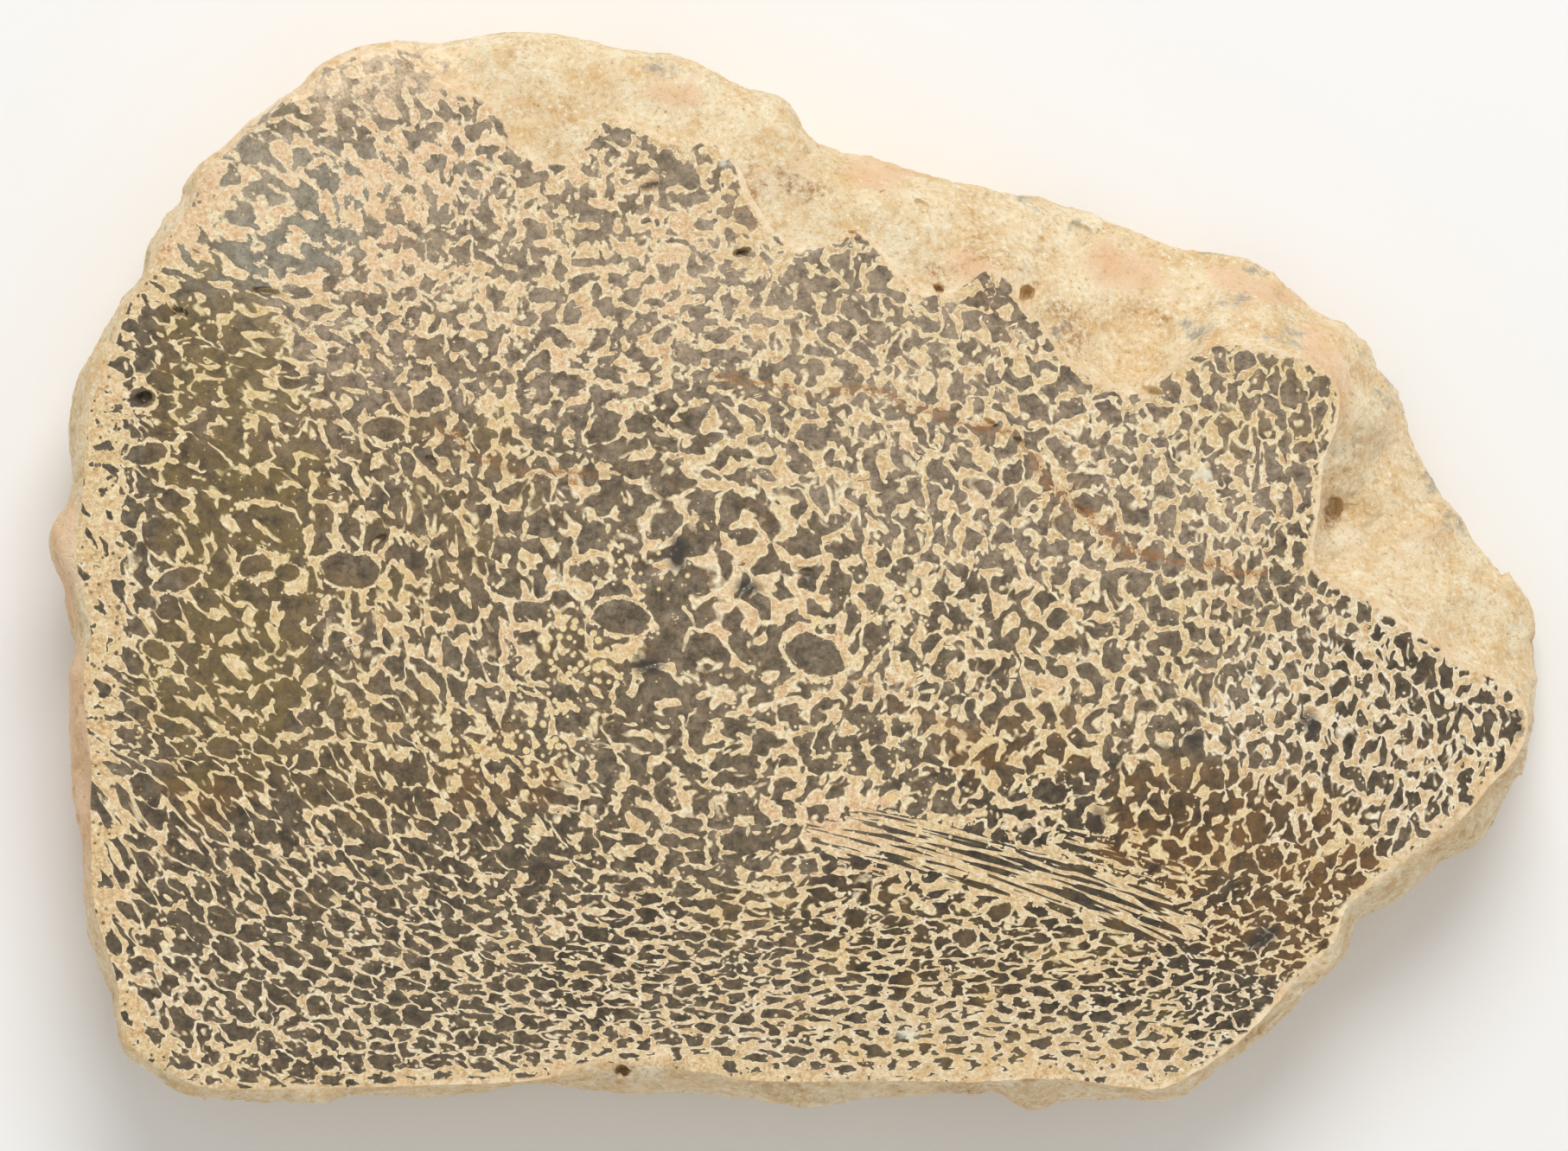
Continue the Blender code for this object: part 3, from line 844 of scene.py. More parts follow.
def growth_lines(x, y, z):
    """Stretched millimetres in which the net of struts is even."""
    level = np.clip((y + LEVEL_FROM) / LEVEL_OVER, 0, 1)
    level = level * (1 - UPRIGHT * np.clip((y - UPRIGHT_FROM) / UPRIGHT_OVER, 0, 1))
    bed = y - ramped(-x, LEAN_FROM, LEAN_OVER, LEAN) * level
    across = x + (x - NARROW_FROM_X) * NARROW * np.clip((-y - NARROW_FROM_Y) / NARROW_OVER, 0, 1)
    across = across + ramped(x, RIGHT_FROM, RIGHT_OVER, RIGHT)
    up = bed - ramped(-bed, CLOSE_FROM, CLOSE_OVER, CLOSE)
    for pixel, radius, stretch in WIDE_CELLS:
        away_x, away_y = x - slab_mm(pixel)[0], y - slab_mm(pixel)[1]
        near = (stretch - 1) * np.exp(-(away_x ** 2 + away_y ** 2) / radius ** 2)
        across, up = across + away_x * near, up + away_y * near
    return np.column_stack([across, up, z])


store("growth", growth_lines(*millimetres))
print("growth lines stored")

# %% Coordinates for the fibres
FIBRE_PLACE, FIBRE_TURN, FIBRE_STRETCH = (1180, 1010), 17, (0.30, 3.0)
FIBRE_BEND, FIBRE_FAN = 0.003, 0.015


def fibre_lines(x, y, z):
    """Millimetres turned to the fibres and shortened along them."""
    middle, angle = slab_mm(FIBRE_PLACE), math.radians(FIBRE_TURN)
    along = (x - middle[0]) * math.cos(angle) - (y - middle[1]) * math.sin(angle)
    across = (x - middle[0]) * math.sin(angle) + (y - middle[1]) * math.cos(angle)
    across = (across + FIBRE_BEND * along ** 2) * (1 - FIBRE_FAN * along)
    return np.column_stack([along * FIBRE_STRETCH[0], across * FIBRE_STRETCH[1], z])


store("fibres", fibre_lines(*millimetres))
print("fibres stored")

# %% [markdown]
# ## The net of struts
#
# In section, spongy bone is a broken net. Its cell walls come from a Voronoi pattern, whose
# distance to the nearest edge is cut off so that each wall keeps a least thickness. A sum of
# sine waves in many directions, all of about one length, then thickens the walls, opens gaps and
# rounds the broken ends. A second, finer sum lumps the outline. Loose round dots, where a strut
# was cut across, stand in groves and come from Voronoi cells of their own.

# %% Ripples
RIPPLE_COUNT = 10
ANGLE_PLAY, PACE_PLAY, TILT_PLAY, PHASE_PLAY = 0.3, 0.25, 0.5, 6


def ripple_group(name, seed):
    """Waves of length one in many directions, summed to a spread of about one."""
    group, w, given, result = new_group(name, {"Vector": ZERO}, {"Height": "Float"})
    chance = random.Random(seed)
    total = 0.0
    for number in range(RIPPLE_COUNT):
        angle = math.pi * (number + chance.uniform(-ANGLE_PLAY, ANGLE_PLAY)) / RIPPLE_COUNT
        pace = 2 * math.pi * (1 + chance.uniform(-PACE_PLAY, PACE_PLAY))
        tilt = chance.uniform(-TILT_PLAY, TILT_PLAY)
        heading = (pace * math.cos(angle), pace * math.sin(angle), pace * math.sin(tilt))
        phase = w.plus(w.vector("DOT_PRODUCT", given["Vector"], heading), chance.uniform(0, PHASE_PLAY))
        total = w.plus(w.maths("SINE", phase), total)
    w.feed(result["Height"], w.times(total, math.sqrt(2 / RIPPLE_COUNT)))
    return group


ripples = ripple_group("growth_ripples", 1)
fine_ripples = ripple_group("fine_ripples", 5)
print("ripples: two sums of", RIPPLE_COUNT, "waves")

# %% The net of walls and gaps
# Sizes in millimetres, and how far the swirl and the bend carry the net.
SWIRL_SIZE, SWIRL, WALL_SWIRL = 2.9, 3.3, 0.6
BEND_SIZE, BEND = 1.25, 2.0
RIPPLE_SIZE, FINE_SIZE = 2.1, 1.0
CELL_SIZE, PATCH_SIZE, CRUMB_SIZE = 2.4, 4.2, 0.8
WALL_ROUNDING = 0.1
FULL_FROM, FULL_GAIN = 0.35, -2.5
NET_LEVEL = 0.5


def drift(w, place, size, reach):
    """A slow wandering of places, made of cloudy noise."""
    noise = w.noise(place, size, 1.0, output=COLOUR)
    return w.scaled(w.vector("SUBTRACT", noise, HALF), reach)


def wall_distance(w, place, swirl):
    """Millimetres to the nearest wall of cells that are bent and partly swirled."""
    walls = w.vector("ADD", place, w.scaled(swirl, WALL_SWIRL))
    walls = w.vector("ADD", walls, drift(w, place, BEND_SIZE, BEND))
    return w.times(w.cells(walls, CELL_SIZE, "DISTANCE_TO_EDGE"), CELL_SIZE)


def net_group():
    """How deep inside bone a point lies, positive in bone, and how far a cell's wall is."""
    inputs = {"Vector": ZERO, "Thinness": 3.4, "Wall": 0.64, "Least": -0.15, "Pieces": 0.40,
              "Lumps": 0.17, "Patches": 0.9, "Fill": 0.0, "Frayed": 0.2}
    group, w, given, result = new_group("bone_net", inputs, {"Depth": "Float", "Hollow": "Float"})
    place = given["Vector"]
    swirl = drift(w, place, SWIRL_SIZE, SWIRL)
    swirled = w.vector("ADD", place, swirl)
    wall = wall_distance(w, place, swirl)
    near = w.minus(1.0, w.times(wall, given["Thinness"]))
    near = w.maths("SMOOTH_MIN", near, given["Wall"], WALL_ROUNDING)
    over = w.larger(w.minus(given["Fill"], FULL_FROM), 0.0)
    total = w.larger(near, w.times_plus(over, FULL_GAIN, given["Least"]))
    shapes = (
        (w.use(ripples, Vector=w.scaled(swirled, 1 / RIPPLE_SIZE))["Height"], "Pieces"),
        (w.use(fine_ripples, Vector=w.scaled(swirled, 1 / FINE_SIZE))["Height"], "Lumps"),
        (w.minus(w.noise(place, PATCH_SIZE, 2.0), 0.5), "Patches"),
        (w.minus(w.noise(place, CRUMB_SIZE, 3.0, 0.7), 0.5), "Frayed"),
    )
    for shape, gain in shapes:
        total = w.times_plus(shape, given[gain], total)
    w.feed(result["Depth"], w.plus(w.minus(total, NET_LEVEL), given["Fill"]))
    w.feed(result["Hollow"], wall)
    return group


bone_net = net_group()
print("cells", CELL_SIZE, "mm wide, gaps", RIPPLE_SIZE, "mm apart")

# %% Loose dots
DOT_SIZE, GROVE_SIZE, DOT_SLOPE = 0.95, 1.6, 2.5
DOT_RADIUS = (0.0, 0.45, -0.1, 0.30)


def dot_group():
    """Loose round dots: how deep inside a dot a point lies, on the scale of the net's depth."""
    inputs = {"Vector": ZERO, "Amount": 0.0}
    group, w, given, result = new_group("bone_dots", inputs, {"Depth": "Float"})
    place = given["Vector"]
    grove = w.shaken(given["Amount"], w.noise(place, GROVE_SIZE, 1.0), 1.0)
    away = w.times(w.cells(place, DOT_SIZE), DOT_SIZE)
    w.feed(result["Depth"], w.times(w.minus(w.spread(grove, *DOT_RADIUS), away), DOT_SLOPE))
    return group


bone_dots = dot_group()
print("dots stand", DOT_SIZE, "mm apart in groves", GROVE_SIZE, "mm wide")

# %% [markdown]
# ## Colours shared by the finishes
#
# The bone is cream at the rim of each strut and mottled tan to pink inside it. The cells are
# filled with grey-brown agate, darker in the middle of a cell and stained olive or amber beside
# the struts. The rind is pale tan and sandy. Each of the three is a group, so that every finish
# that needs it can use it with its own values.

# %% Shades and paints
# Shades run between two paints, a dark and a light one, each as a screen shows it, 0 to 255.
SHADES = {
    "cream edge": ((225, 198, 143), (252, 238, 199)), "pale edge": ((230, 210, 165), (255, 248, 226)),
    "tan core": ((184, 145, 92), (232, 202, 148)), "rose core": ((202, 152, 106), (240, 203, 158)),
    "grey agate": ((76, 65, 47), (134, 117, 91)), "light agate": ((107, 93, 77), (180, 160, 134)),
    "dark agate": ((37, 31, 19), (84, 72, 51)), "blue agate": ((104, 101, 87), (162, 155, 137)),
    "amber to olive": ((134, 90, 34), (126, 102, 42)), "rind": ((226, 192, 140), (244, 228, 192)),
    "dust": ((212, 180, 140), (242, 222, 190)), "floor": ((244, 243, 241), (248, 247, 245)),
}
PAINTS = {
    "cell middle": (77, 67, 52), "tan sand": (202, 160, 104), "brown sand": (122, 96, 64),
    # The ochre paint also gives painted shade in two pockets of the rind.
    "white sand": (252, 243, 222), "ochre and pocket shade": (170, 118, 62), "pink": (236, 188, 150),
    "grey": (150, 146, 138), "dot": (238, 208, 132), "stained bone": (224, 192, 118),
    # Black paints dark agate blots and painted shade in the pits; the white speck is a painted glint.
    "black blot and pit shade": (50, 45, 39), "painted glint": (252, 246, 232), "dark speck": (84, 72, 56),
    "quartz": (224, 226, 208), "rust": (158, 106, 54), "stone flour": (206, 192, 166),
}


def shade(w, amount, name):
    """A colour between the two paints of a shade."""
    dark, light = SHADES[name]
    return w.tint(amount, paint(*dark), paint(*light))


def painted(w, colour, *coats):
    """A colour under some coats, each given as its amount and its paint."""
    for amount, name in coats:
        colour = w.tint(amount, colour, paint(*PAINTS[name]))
    return colour


print("shades:", len(SHADES), "and paints:", len(PAINTS))

# %% Bone and agate colours
# Noise as size, detail and roughness, and ramps as from and to.
BONE_GRAIN, BONE_COARSE = (0.45, 3.0, 0.65), (0.38, 0.60)
AGATE_CLOUD, AGATE_LIGHT, MIDDLE_SHARE = (0.8, 4.0, 0.75), (0.36, 0.64), 0.35


def bone_colour_group():
    inputs = {"Place": ZERO, "Inside": 0.0, "Pink": 0.0, "Pale": 0.0}
    group, w, given, result = new_group("bone_colour", inputs, {"Color": "Color"})
    coarse = w.spread(w.noise(given["Place"], *BONE_GRAIN), *BONE_COARSE)
    edge = w.tint(given["Pale"], shade(w, coarse, "cream edge"), shade(w, coarse, "pale edge"))
    core = w.tint(given["Pink"], shade(w, coarse, "tan core"), shade(w, coarse, "rose core"))
    w.feed(result["Color"], w.tint(given["Inside"], edge, core))
    return group


def agate_colour_group():
    inputs = {"Place": ZERO, "Middle": 0.0, "Tone": 0.0, "Stain": 0.0, "Olive": 0.0, "Blue": 0.0}
    group, w, given, result = new_group("agate_colour", inputs, {"Color": "Color"})
    cloud = w.spread(w.noise(given["Place"], *AGATE_CLOUD), *AGATE_LIGHT)
    middle = w.times(given["Middle"], MIDDLE_SHARE)
    grey = painted(w, shade(w, cloud, "grey agate"), (middle, "cell middle"))
    grey = w.tint(w.spread(given["Tone"], 0.0, 1.0), grey, shade(w, cloud, "light agate"))
    grey = w.tint(w.spread(given["Tone"], 0.0, -1.0), grey, shade(w, cloud, "dark agate"))
    grey = w.tint(given["Blue"], grey, shade(w, cloud, "blue agate"))
    w.feed(result["Color"], w.tint(given["Stain"], grey, shade(w, given["Olive"], "amber to olive")))
    return group


bone_colour = bone_colour_group()
agate_colour = agate_colour_group()
print("bone colour:", len(bone_colour.nodes), "nodes; agate colour:", len(agate_colour.nodes))

# %% Rind colour
# Noise as size, detail and roughness, and ramps as from, to, and the strength at both ends.
RIND_BROAD, RIND_LIGHT, RIND_SAND = (3.2, 4.0, 0.7), (0.36, 0.64), (0.5, 4.0, 0.75)
TAN_SAND, BROWN_SAND, WHITE_SAND = (0.36, 0.46, 0.6, 0.0), (0.34, 0.28, 0.0, 0.8), (0.54, 0.68, 0.0, 0.9)
OCHRE_SAND, PINK_SAND = (0.42, 0.58, 0.75, 0.1), (0.4, 0.6, 0.2, 0.8)


def rind_colour_group():
    inputs = {"Place": ZERO, "Ochre": 0.0, "Pink": 0.0, "Grey": 0.0}
    group, w, given, result = new_group("rind_colour", inputs, {"Color": "Color", "Grain": "Float"})
    broad = w.noise(given["Place"], *RIND_BROAD)
    sand = w.noise(given["Place"], *RIND_SAND)
    colour = painted(
        w, shade(w, w.spread(broad, *RIND_LIGHT), "rind"),
        (w.spread(sand, *TAN_SAND), "tan sand"),
        (w.spread(sand, *BROWN_SAND), "brown sand"),
        (w.spread(sand, *WHITE_SAND), "white sand"),
        # Ochre stains, and painted brown shade in the rind's pockets.
        (w.times(given["Ochre"], w.spread(sand, *OCHRE_SAND)), "ochre and pocket shade"),
        (w.times(given["Pink"], w.spread(sand, *PINK_SAND)), "pink"),
        (given["Grey"], "grey"))
    w.feed(result["Color"], colour)
    w.feed(result["Grain"], sand)
    return group


rind_colour = rind_colour_group()
print("rind colour:", len(rind_colour.nodes), "nodes")

# %% [markdown]
# ## The polished cut
#
# This finish joins all the maps. The depth inside bone comes from the net, or from the slits in
# the band of fibres, and it chooses between bone and agate. Agate is clear enough to show struts
# that lie just under the polish, so in places the edge of the bone is soft. Compact bone at the
# rim is pierced by small pores. The marks come last: dark blots with painted shade in the pits,
# painted glints on the bone, dark specks, quartz, pale dust, the rusty seam, and crust where the
# ground rim ends. Bone takes a duller polish than agate, and fine saw scratches remain in both.

# %% Steps that finishes share
# How far noise shakes each stored map.
SWINGS = {
    "fibrous": 2.6, "unbroken": 1.5, "closed_cell": 2.3, "tone": 2.2, "blot_and_pit_shade": 1.4, "crystal": 1.6,
    "seam": 3.5, "worn_end": 2.0, "olive": 3.0, "amber": 3.0, "pink": 2.0, "pale": 1.0, "blue_grey": 1.0,
}
MAP_PRESENT = 0.15


def principled(material):
    """An empty tree with one shader, and places on the slab in millimetres."""
    material.use_nodes = True
    material.node_tree.nodes.clear()
    w = Wiring(material.node_tree)
    surface = w.node("ShaderNodeBsdfPrincipled")
    w.feed(w.node("ShaderNodeOutputMaterial").inputs["Surface"], surface.outputs[0])
    return w, surface, w.scaled(w.node("ShaderNodeTexCoord").outputs["Object"], 1 / MM)


def finished(w, surface, colour, roughness, height, depth):
    """Feeds the shader its colour and roughness, and a bump some millimetres deep."""
    w.feed(surface.inputs["Base Color"], colour)
    w.feed(surface.inputs["Roughness"], roughness)
    bump = w.fed("ShaderNodeBump", {"Strength": 1.0, "Distance": depth * MM, "Height": height})
    w.feed(surface.inputs["Normal"], bump[0])


def shaken_map(w, name, noise):
    """A stored map shaken by noise."""
    return w.shaken(name, noise, SWINGS[name])


def ragged_map(w, name, noise):
    """A shaken map, only where the stored one is present, held between 0 and 1."""
    present = w.spread(w.stored(name), 0.0, MAP_PRESENT)
    return w.spread(w.times(shaken_map(w, name, noise), present), 0.0, 1.0)


print("maps shaken by noise:", len(SWINGS))

# %% Depth inside bone on the cut face
COMPACT_SWING, COMPACT_FILL = 1.2, 2.2
FIBROUS_FROM = 0.45
# The net's settings where it is broken, and where its cells are closed.
BROKEN_TO_WHOLE = {"Wall": (0.64, 0.80), "Pieces": (0.40, 0.20), "Least": (-0.15, -0.45)}
PORE_SHIFT, PORE_AMOUNT = (40.3, 17.9, 0.0), (0.0, 0.45, -0.4, 0.20)
DOTTED = (0.0, 0.2)
# The wall round a closed cell: half thickness, how far out it lies, swing, and slopes of the depth.
WALL_HALF, WALL_OUT, WALL_SWING, WALL_SLOPE, CELL_SLOPE = 0.14, 0.22, 1.6, 2.5, -3.0


def cut_depth(w, place, ragged):
    """How hollow a place is, its depth inside bone, without and with pores, and if it is in a dot."""
    compact = w.stored("compact")
    compact = w.shaken(compact, ragged, w.times(compact, COMPACT_SWING))
    fill = w.times_plus(w.larger(compact, 0.0), COMPACT_FILL, w.stored("fill"))
    fibrous = w.maths("GREATER_THAN", shaken_map(w, "fibrous", ragged), FIBROUS_FROM)
    lines = w.choose(fibrous, w.stored("growth", "Vector"), w.stored("fibres", "Vector"))
    whole = w.spread(shaken_map(w, "unbroken", ragged), 0.0, 1.0)
    settings = {name: w.between(whole, *ends) for name, ends in BROKEN_TO_WHOLE.items()}
    net = w.use(bone_net, Vector=lines, Thinness=w.stored("thinness"), Fill=fill,
                Frayed=w.stored("frayed"), Patches=w.stored("patchy"), **settings)
    dots = w.use(bone_dots, Vector=place, Amount=w.stored("dotted"))["Depth"]
    pore_amount = w.spread(w.stored("compact"), *PORE_AMOUNT)
    pores = w.use(bone_dots, Vector=w.vector("ADD", place, PORE_SHIFT), Amount=pore_amount)["Depth"]
    cell = shaken_map(w, "closed_cell", ragged)
    wall = w.minus(WALL_HALF, w.maths("ABSOLUTE", w.plus(cell, WALL_OUT)))
    wall = w.times(w.shaken(wall, ragged, WALL_SWING), WALL_SLOPE)
    depth = w.smaller(w.larger(w.larger(net["Depth"], dots), wall), w.times(cell, CELL_SLOPE))
    pored = w.smaller(depth, w.times(pores, -1.0))
    return net["Hollow"], depth, pored, w.spread(dots, *DOTTED)


print("walls of closed cells:", 2 * WALL_HALF, "mm")

# %% Bone or agate on the cut face
# Ramps as from, to, and the strength at both ends.
BESIDE_BONE, PLAIN_HALO, STAINED_HALO = (-0.75, -0.05), (0.45, 0.65, 0.15, 0.5), 0.95
FLOOD, BONE_STAIN, DOT_PAINT = (0.36, 0.62, 0.05, 0.65), (0.4, 0.6, 0.05, 0.38), 0.6
CELL_MIDDLE, CORE, CORE_PATCHES = (0.4, 1.0), (0.08, 0.45), (0.35, 0.6, 0.45, 1.0)


def cut_colour(w, place, ragged, blotch, bone, depths):
    """Bone or agate, with their stains."""
    hollow, whole, pored, dotted = depths
    olive = ragged_map(w, "olive", blotch)
    stained = w.larger(olive, ragged_map(w, "amber", blotch))
    halo = w.between(stained, w.spread(blotch, *PLAIN_HALO), STAINED_HALO)
    halo = w.times(w.spread(pored, *BESIDE_BONE), halo)
    flood = w.times(stained, w.spread(ragged, *FLOOD))
    agate = w.use(agate_colour, Place=place, Middle=w.spread(hollow, *CELL_MIDDLE),
                  Tone=shaken_map(w, "tone", ragged), Stain=w.larger(halo, flood), Olive=olive,
                  Blue=ragged_map(w, "blue_grey", ragged))["Color"]
    core = w.times(w.spread(whole, *CORE), w.spread(ragged, *CORE_PATCHES))
    bones = w.use(bone_colour, Place=place, Inside=core, Pink=ragged_map(w, "pink", blotch),
                  Pale=ragged_map(w, "pale", blotch))["Color"]
    stain = w.times(stained, w.spread(blotch, *BONE_STAIN))
    bones = painted(w, bones, (w.times(dotted, DOT_PAINT), "dot"), (stain, "stained bone"))
    return w.tint(bone, agate, bones)


print("stains at most", STAINED_HALO, "strong")

# %% Marks on the cut face
# Ramps as from, to, and the strength at both ends.
BLOT_AND_PIT_SHADE, QUARTZ = (-0.3, 0.6, 0.0, 0.9), (0.0, 0.4, 0.0, 0.8)
# The white specks are painted glints; the dark specks are real.
PAINTED_GLINTS, DARK_SPECKS = (0.60, 0.68, 0.0, 0.7), (0.36, 0.28, 0.0, 0.5)
DUST_PATCHES, DUST_GRAIN = (0.36, 0.58, 0.35, 1.5), (0.4, 0.6)
SEAM_WIDTH, SEAM_BREAKS, SEAM_GRAIN = (0.05, 0.55, 1.0, 0.0), (0.40, 0.56, 0.45, 1.0), (0.4, 0.6, 0.2, 1.3)
CRUST, CRUST_LEAST, CRUST_PINK = (0.3, 0.6), 0.01, 0.3


def marked(w, colour, place, ragged, scratch, bone):
    """The colour under its blots and painted pit shade, painted glints, dark specks, quartz, dust, seam and
    crust.
    """
    colour = painted(
        w, colour,
        # Dark agate blots, and painted shade inside the openings and pits.
        (w.spread(shaken_map(w, "blot_and_pit_shade", ragged), *BLOT_AND_PIT_SHADE), "black blot and pit shade"),
        # White specks on the bone are painted glints.
        (w.times(w.spread(scratch, *PAINTED_GLINTS), bone), "painted glint"),
        (w.spread(scratch, *DARK_SPECKS), "dark speck"),
        (w.spread(shaken_map(w, "crystal", ragged), *QUARTZ), "quartz"))
    dust = w.times(w.stored("dusty"), w.spread(ragged, *DUST_PATCHES))
    colour = w.tint(dust, colour, shade(w, w.spread(scratch, *DUST_GRAIN), "dust"))
    seam = w.spread(w.maths("ABSOLUTE", shaken_map(w, "seam", ragged)), *SEAM_WIDTH)
    for part in (w.stored("seam_strength"), w.spread(ragged, *SEAM_BREAKS), w.spread(scratch, *SEAM_GRAIN)):
        seam = w.times(seam, part)
    colour = painted(w, colour, (seam, "rust"))
    crust = w.spread(shaken_map(w, "worn_end", ragged), *CRUST)
    crust = w.times(crust, w.maths("GREATER_THAN", w.stored("worn_end"), CRUST_LEAST))
    return w.tint(crust, colour, w.use(rind_colour, Place=place, Pink=CRUST_PINK)["Color"])


print("marks ready")

# %% The whole finish of the cut face
# Noise as size, detail and roughness, and ramps as from, to, and the value at both ends.
RAGGED, BLOTCH, SCRATCH = (1.8, 3.0, 0.65), (4.5, 2.0, 0.5), (0.22, 2.0, 0.6)
SOFT_EDGE, BONE_FULL = (0.4, 0.6, -0.12, -0.34), 0.09
CUT_ROUGHNESS, SCRATCH_ROUGHNESS, SCRATCH_DEPTH = (0.32, 0.50), (0.3, 0.7, -0.06, 0.10), 0.02


def finish_cut(material):
    w, surface, place = principled(material)
    ragged, blotch, scratch = (w.noise(place, *kind) for kind in (RAGGED, BLOTCH, SCRATCH))
    depths = cut_depth(w, place, ragged)
    bone = w.spread(depths[2], w.spread(blotch, *SOFT_EDGE), BONE_FULL)
    colour = cut_colour(w, place, ragged, blotch, bone, depths)
    colour = marked(w, colour, place, ragged, scratch, bone)
    roughness = w.plus(w.between(bone, *CUT_ROUGHNESS), w.spread(scratch, *SCRATCH_ROUGHNESS))
    finished(w, surface, colour, roughness, scratch, SCRATCH_DEPTH)


finish_cut(polish)
print("polished cut:", len(polish.node_tree.nodes), "nodes")

# %% [markdown]
# ## The weathered rind and the sawn back
#
# The rind is matte, with ochre, pink and grey stains, and painted brown and grey shade in two of
# its pockets. The back was left as the saw left it: the same bone in section, dulled by stone flour,
# with the fine parallel marks of the blade.

# %% Stains of the rind, and painted shade in two of its pockets
# Each as pixel, half length, half width, turn in degrees.
RIND_STAINS_AND_SHADE = {
    # Ochre stains, and painted brown shade in the pocket under the right edge and the upper right hollow.
    "rind_ochre_and_shade": (
        (868, 218, 16, 34, 0), (925, 212, 40, 16, 20), (1148, 302, 36, 12, 20), (1325, 360, 30, 12, 20),
        (1090, 315, 24, 10, 0), (1538, 590, 8, 30, 0), (1235, 380, 24, 40, -30), (720, 1235, 20, 10, 0),
        (1115, 1262, 30, 10, 0)),
    "rind_pink": (
        (385, 130, 50, 40, 0), (1300, 310, 50, 30, 20), (1535, 430, 24, 60, -20), (1120, 310, 30, 20, 0),
        (1015, 200, 40, 20, 0), (780, 110, 40, 16, 0), (1450, 330, 60, 20, 20), (70, 640, 20, 100, 0),
        (90, 900, 20, 160, 0)),
    # Grey-blue specks, and painted grey shade in the upper right hollow.
    "rind_grey": (
        (1430, 342, 14, 8, 0), (1490, 388, 18, 12, 0), (1385, 380, 16, 10, 0), (1232, 378, 12, 10, 0),
        (762, 78, 14, 8, 0), (1688, 598, 14, 9, 30), (1662, 556, 9, 10, 0), (1610, 447, 9, 16, 0),
        (1246, 256, 10, 6, 20), (1402, 290, 16, 6, 10), (1452, 312, 12, 7, 20), (480, 90, 20, 12, 0),
        (1190, 228, 12, 4, 0), (1755, 830, 12, 26, 0), (900, 98, 14, 6, 0)),
}
for name, spots in RIND_STAINS_AND_SHADE.items():
    store(name, inside(spots))
print("stains:", sum(len(spots) for spots in RIND_STAINS_AND_SHADE.values()))

# %% The rind
# Noise as size, detail and roughness, and ramps as from, to, and the value at both ends.
RIND_RAGGED, RIND_BLOTCH = (1.6, 4.0, 0.7), (4.5, 3.0, 0.6)
STAIN_SWING, STAIN_EDGE, GREY_STRENGTH = 8.0, (-0.2, 1.1), 0.75
OCHRE_CLOUDS, PINK_CLOUDS = (0.58, 0.75, 0.0, 0.5), (0.42, 0.30, 0.0, 0.5)
RIND_ROUGHNESS, RIND_DEPTH = (0.3, 0.7, 0.95, 0.78), 0.26


def finish_rind(material):
    w, surface, place = principled(material)
    ragged = w.noise(place, *RIND_RAGGED)
    blotch = w.noise(place, *RIND_BLOTCH)

    # The ochre map also carries painted shade in two pockets.
    def stain(name, elsewhere):
        return w.larger(w.spread(w.shaken(name, ragged, STAIN_SWING), *STAIN_EDGE), elsewhere)

    rind_look = w.use(rind_colour, Place=place, Ochre=stain("rind_ochre_and_shade", w.spread(blotch, *OCHRE_CLOUDS)),
                      Pink=stain("rind_pink", w.spread(blotch, *PINK_CLOUDS)),
                      Grey=w.times(stain("rind_grey", 0.0), GREY_STRENGTH))
    roughness = w.spread(rind_look["Grain"], *RIND_ROUGHNESS)
    finished(w, surface, rind_look["Color"], roughness, rind_look["Grain"], RIND_DEPTH)


finish_rind(rind)
print("rind:", len(rind.node_tree.nodes), "nodes")

# %% The sawn back
BACK_SHIFT, BACK_NET, BACK_PINK, BACK_STAIN = (11.0, 7.0, 0.0), {"Thinness": 2.7, "Fill": 0.1}, 0.4, 0.15
BACK_CORE, BACK_MIDDLE, BACK_EDGE = (0.14, 0.42), (0.35, 1.0), (-0.07, 0.07)
FLOUR, FLOUR_AMOUNT, BACK_ROUGHNESS = (9.0, 4.0, 0.6), (0.3, 0.7, 0.15, 0.45), (0.3, 0.7, 0.62, 0.85)
BLADE_STRETCH, BLADE, BLADE_DEPTH = (0.04, 2.2, 1.0), (1.0, 2.0), 0.12


def finish_back(material):
    w, surface, place = principled(material)
    growth = w.vector("ADD", w.stored("growth", "Vector"), BACK_SHIFT)
    net = w.use(bone_net, Vector=growth, **BACK_NET)
    core, middle = w.spread(net["Depth"], *BACK_CORE), w.spread(net["Hollow"], *BACK_MIDDLE)
    bones = w.use(bone_colour, Place=place, Inside=core, Pink=BACK_PINK)["Color"]
    agate = w.use(agate_colour, Place=place, Middle=middle, Stain=BACK_STAIN)["Color"]
    flour = w.noise(place, *FLOUR)
    colour = w.tint(w.spread(net["Depth"], *BACK_EDGE), agate, bones)
    colour = painted(w, colour, (w.spread(flour, *FLOUR_AMOUNT), "stone flour"))
    blade = w.noise(w.vector("MULTIPLY", place, BLADE_STRETCH), *BLADE)
    finished(w, surface, colour, w.spread(flour, *BACK_ROUGHNESS), blade, BLADE_DEPTH)


finish_back(back)
print("sawn back:", len(back.node_tree.nodes), "nodes")

# %% [markdown]
# ## Into the frame
#
# The dressed slab stands for the solid, which is hidden, and rides on the one body.

# %% The finished piece
slab = added("petrified_bone_slab", slab_mesh)
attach(slab, "root")
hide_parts("bone_slab")
print("slab placed on its body")

# %% [markdown]
# ## Stage, light and camera
#
# The photo looks straight down on the cut face from a distance. A far camera with a long lens
# gives the same flat view. A pale floor, a bright sky all round and one large soft lamp beyond the
# slab's upper edge keep the shadows gentle.

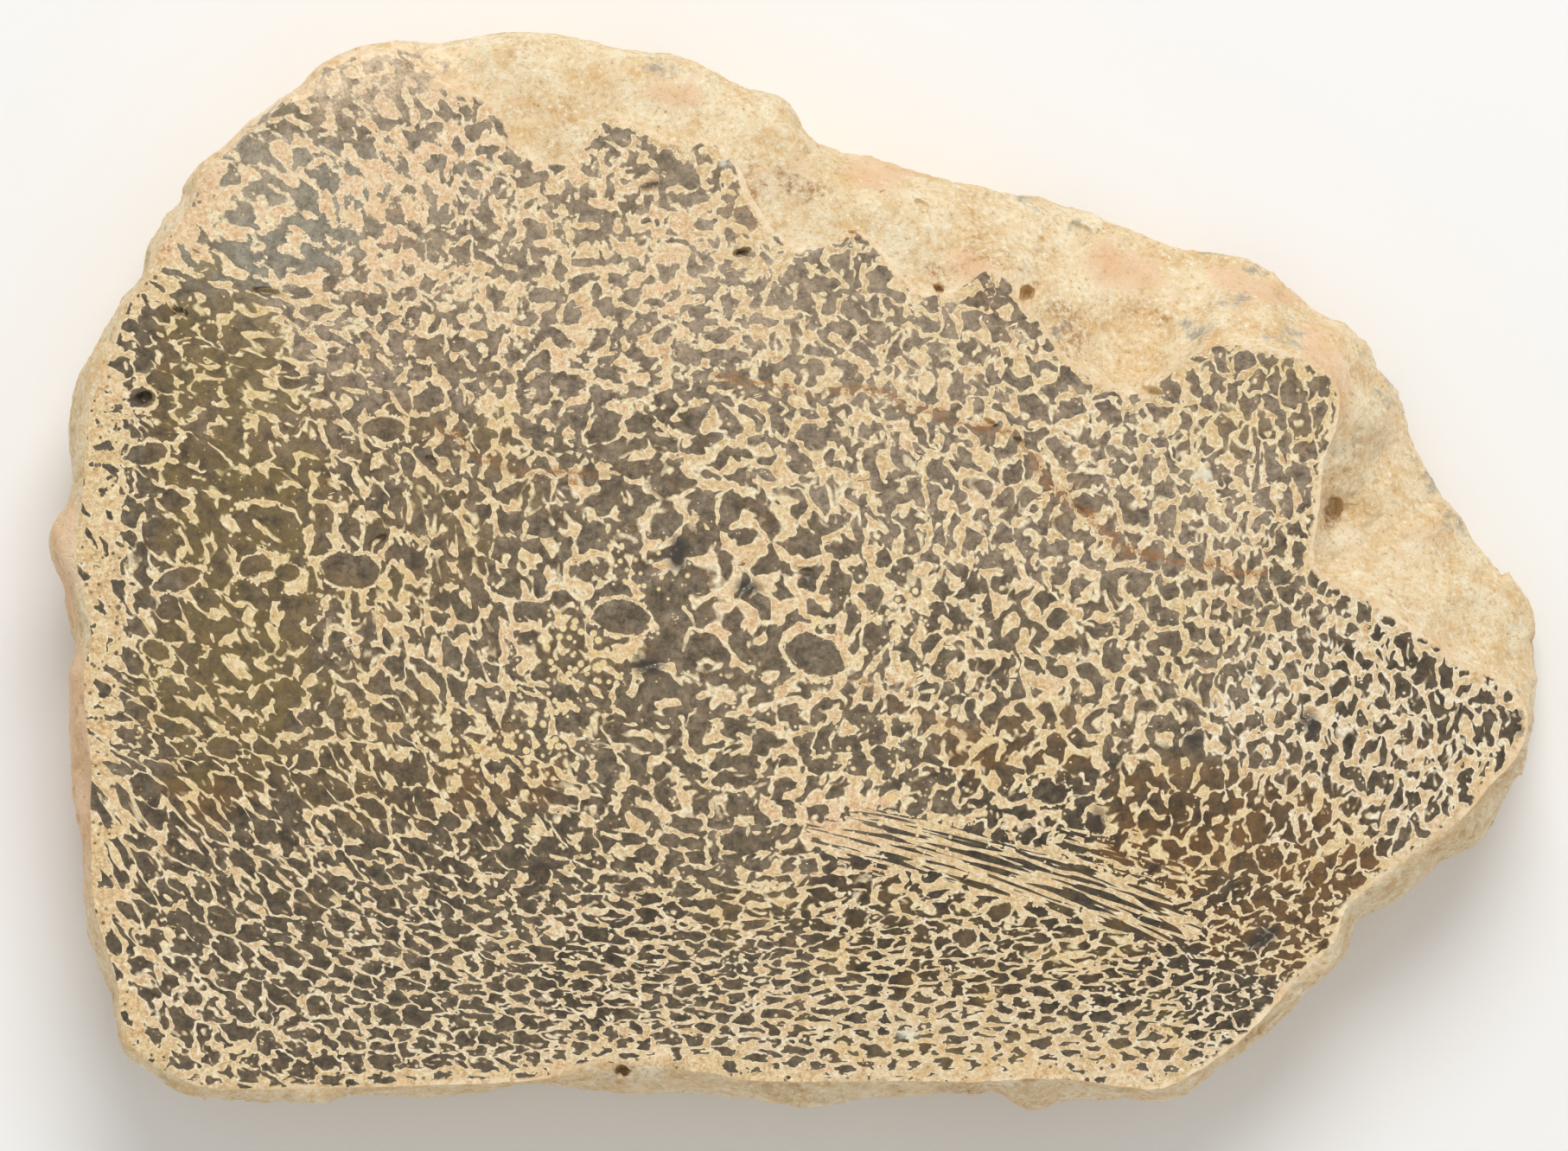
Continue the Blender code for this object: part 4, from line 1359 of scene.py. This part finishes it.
# %% Floor
FLOOR_HALF, FLOOR_DROP = 3.0, 0.0002
FLOOR_CLOUDS, FLOOR_ROUGHNESS = (60.0, 2.0), 0.9
floor_mesh = bpy.data.meshes.new("floor")
corners = [(x, y, -FLOOR_DROP) for x in (-FLOOR_HALF, FLOOR_HALF) for y in (-FLOOR_HALF, FLOOR_HALF)]
floor_mesh.from_pydata(corners, [], [(0, 2, 3, 1)])
floor = added("floor", floor_mesh)
floor_paint = bpy.data.materials.new("floor_paint")
w, surface, place = principled(floor_paint)
w.feed(surface.inputs["Base Color"], shade(w, w.noise(place, *FLOOR_CLOUDS), "floor"))
surface.inputs["Roughness"].default_value = FLOOR_ROUGHNESS
floor_mesh.materials.append(floor_paint)
print("floor laid")

# %% Light
SKY, SKY_COLOUR = 0.60, (1.0, 1.0, 1.0, 1.0)
LAMP_SIZE, LAMP_POWER = 0.9, 14.0
LAMP_PLACE = (0.15, 1.0, 1.2)

world = bpy.data.worlds.new("studio")
world.use_nodes = True
sky = world.node_tree.nodes["Background"].inputs
sky["Color"].default_value = SKY_COLOUR
sky["Strength"].default_value = SKY
bpy.context.scene.world = world
lamp_data = bpy.data.lights.new("soft_lamp", "AREA")
lamp_data.shape = "DISK"
lamp_data.size = LAMP_SIZE
lamp_data.energy = LAMP_POWER
lamp = added("soft_lamp", lamp_data)
lamp.location = LAMP_PLACE
lamp.rotation_euler = (-lamp.location).to_track_quat("-Z", "Y").to_euler()
bpy.context.scene.view_settings.view_transform = "Standard"
print("lamp at", LAMP_PLACE)

# %% Camera
CAMERA_HEIGHT = 3.0
SENSOR = 36.0
camera_data = bpy.data.cameras.new("camera")
camera_data.sensor_width = SENSOR
camera_data.lens = SENSOR * CAMERA_HEIGHT / (PHOTO_SIZE[0] * PIXEL_MM * MM)
camera = added("camera", camera_data)
camera.location = (PHOTO_MIDDLE[0] * MM, PHOTO_MIDDLE[1] * MM, TOP + CAMERA_HEIGHT)
bpy.context.scene.camera = camera
print("camera", CAMERA_HEIGHT, "m above the cut face, lens", round(camera_data.lens), "mm")

print("solid", [round(n / MM, 2) for corner in solid_box for n in corner])
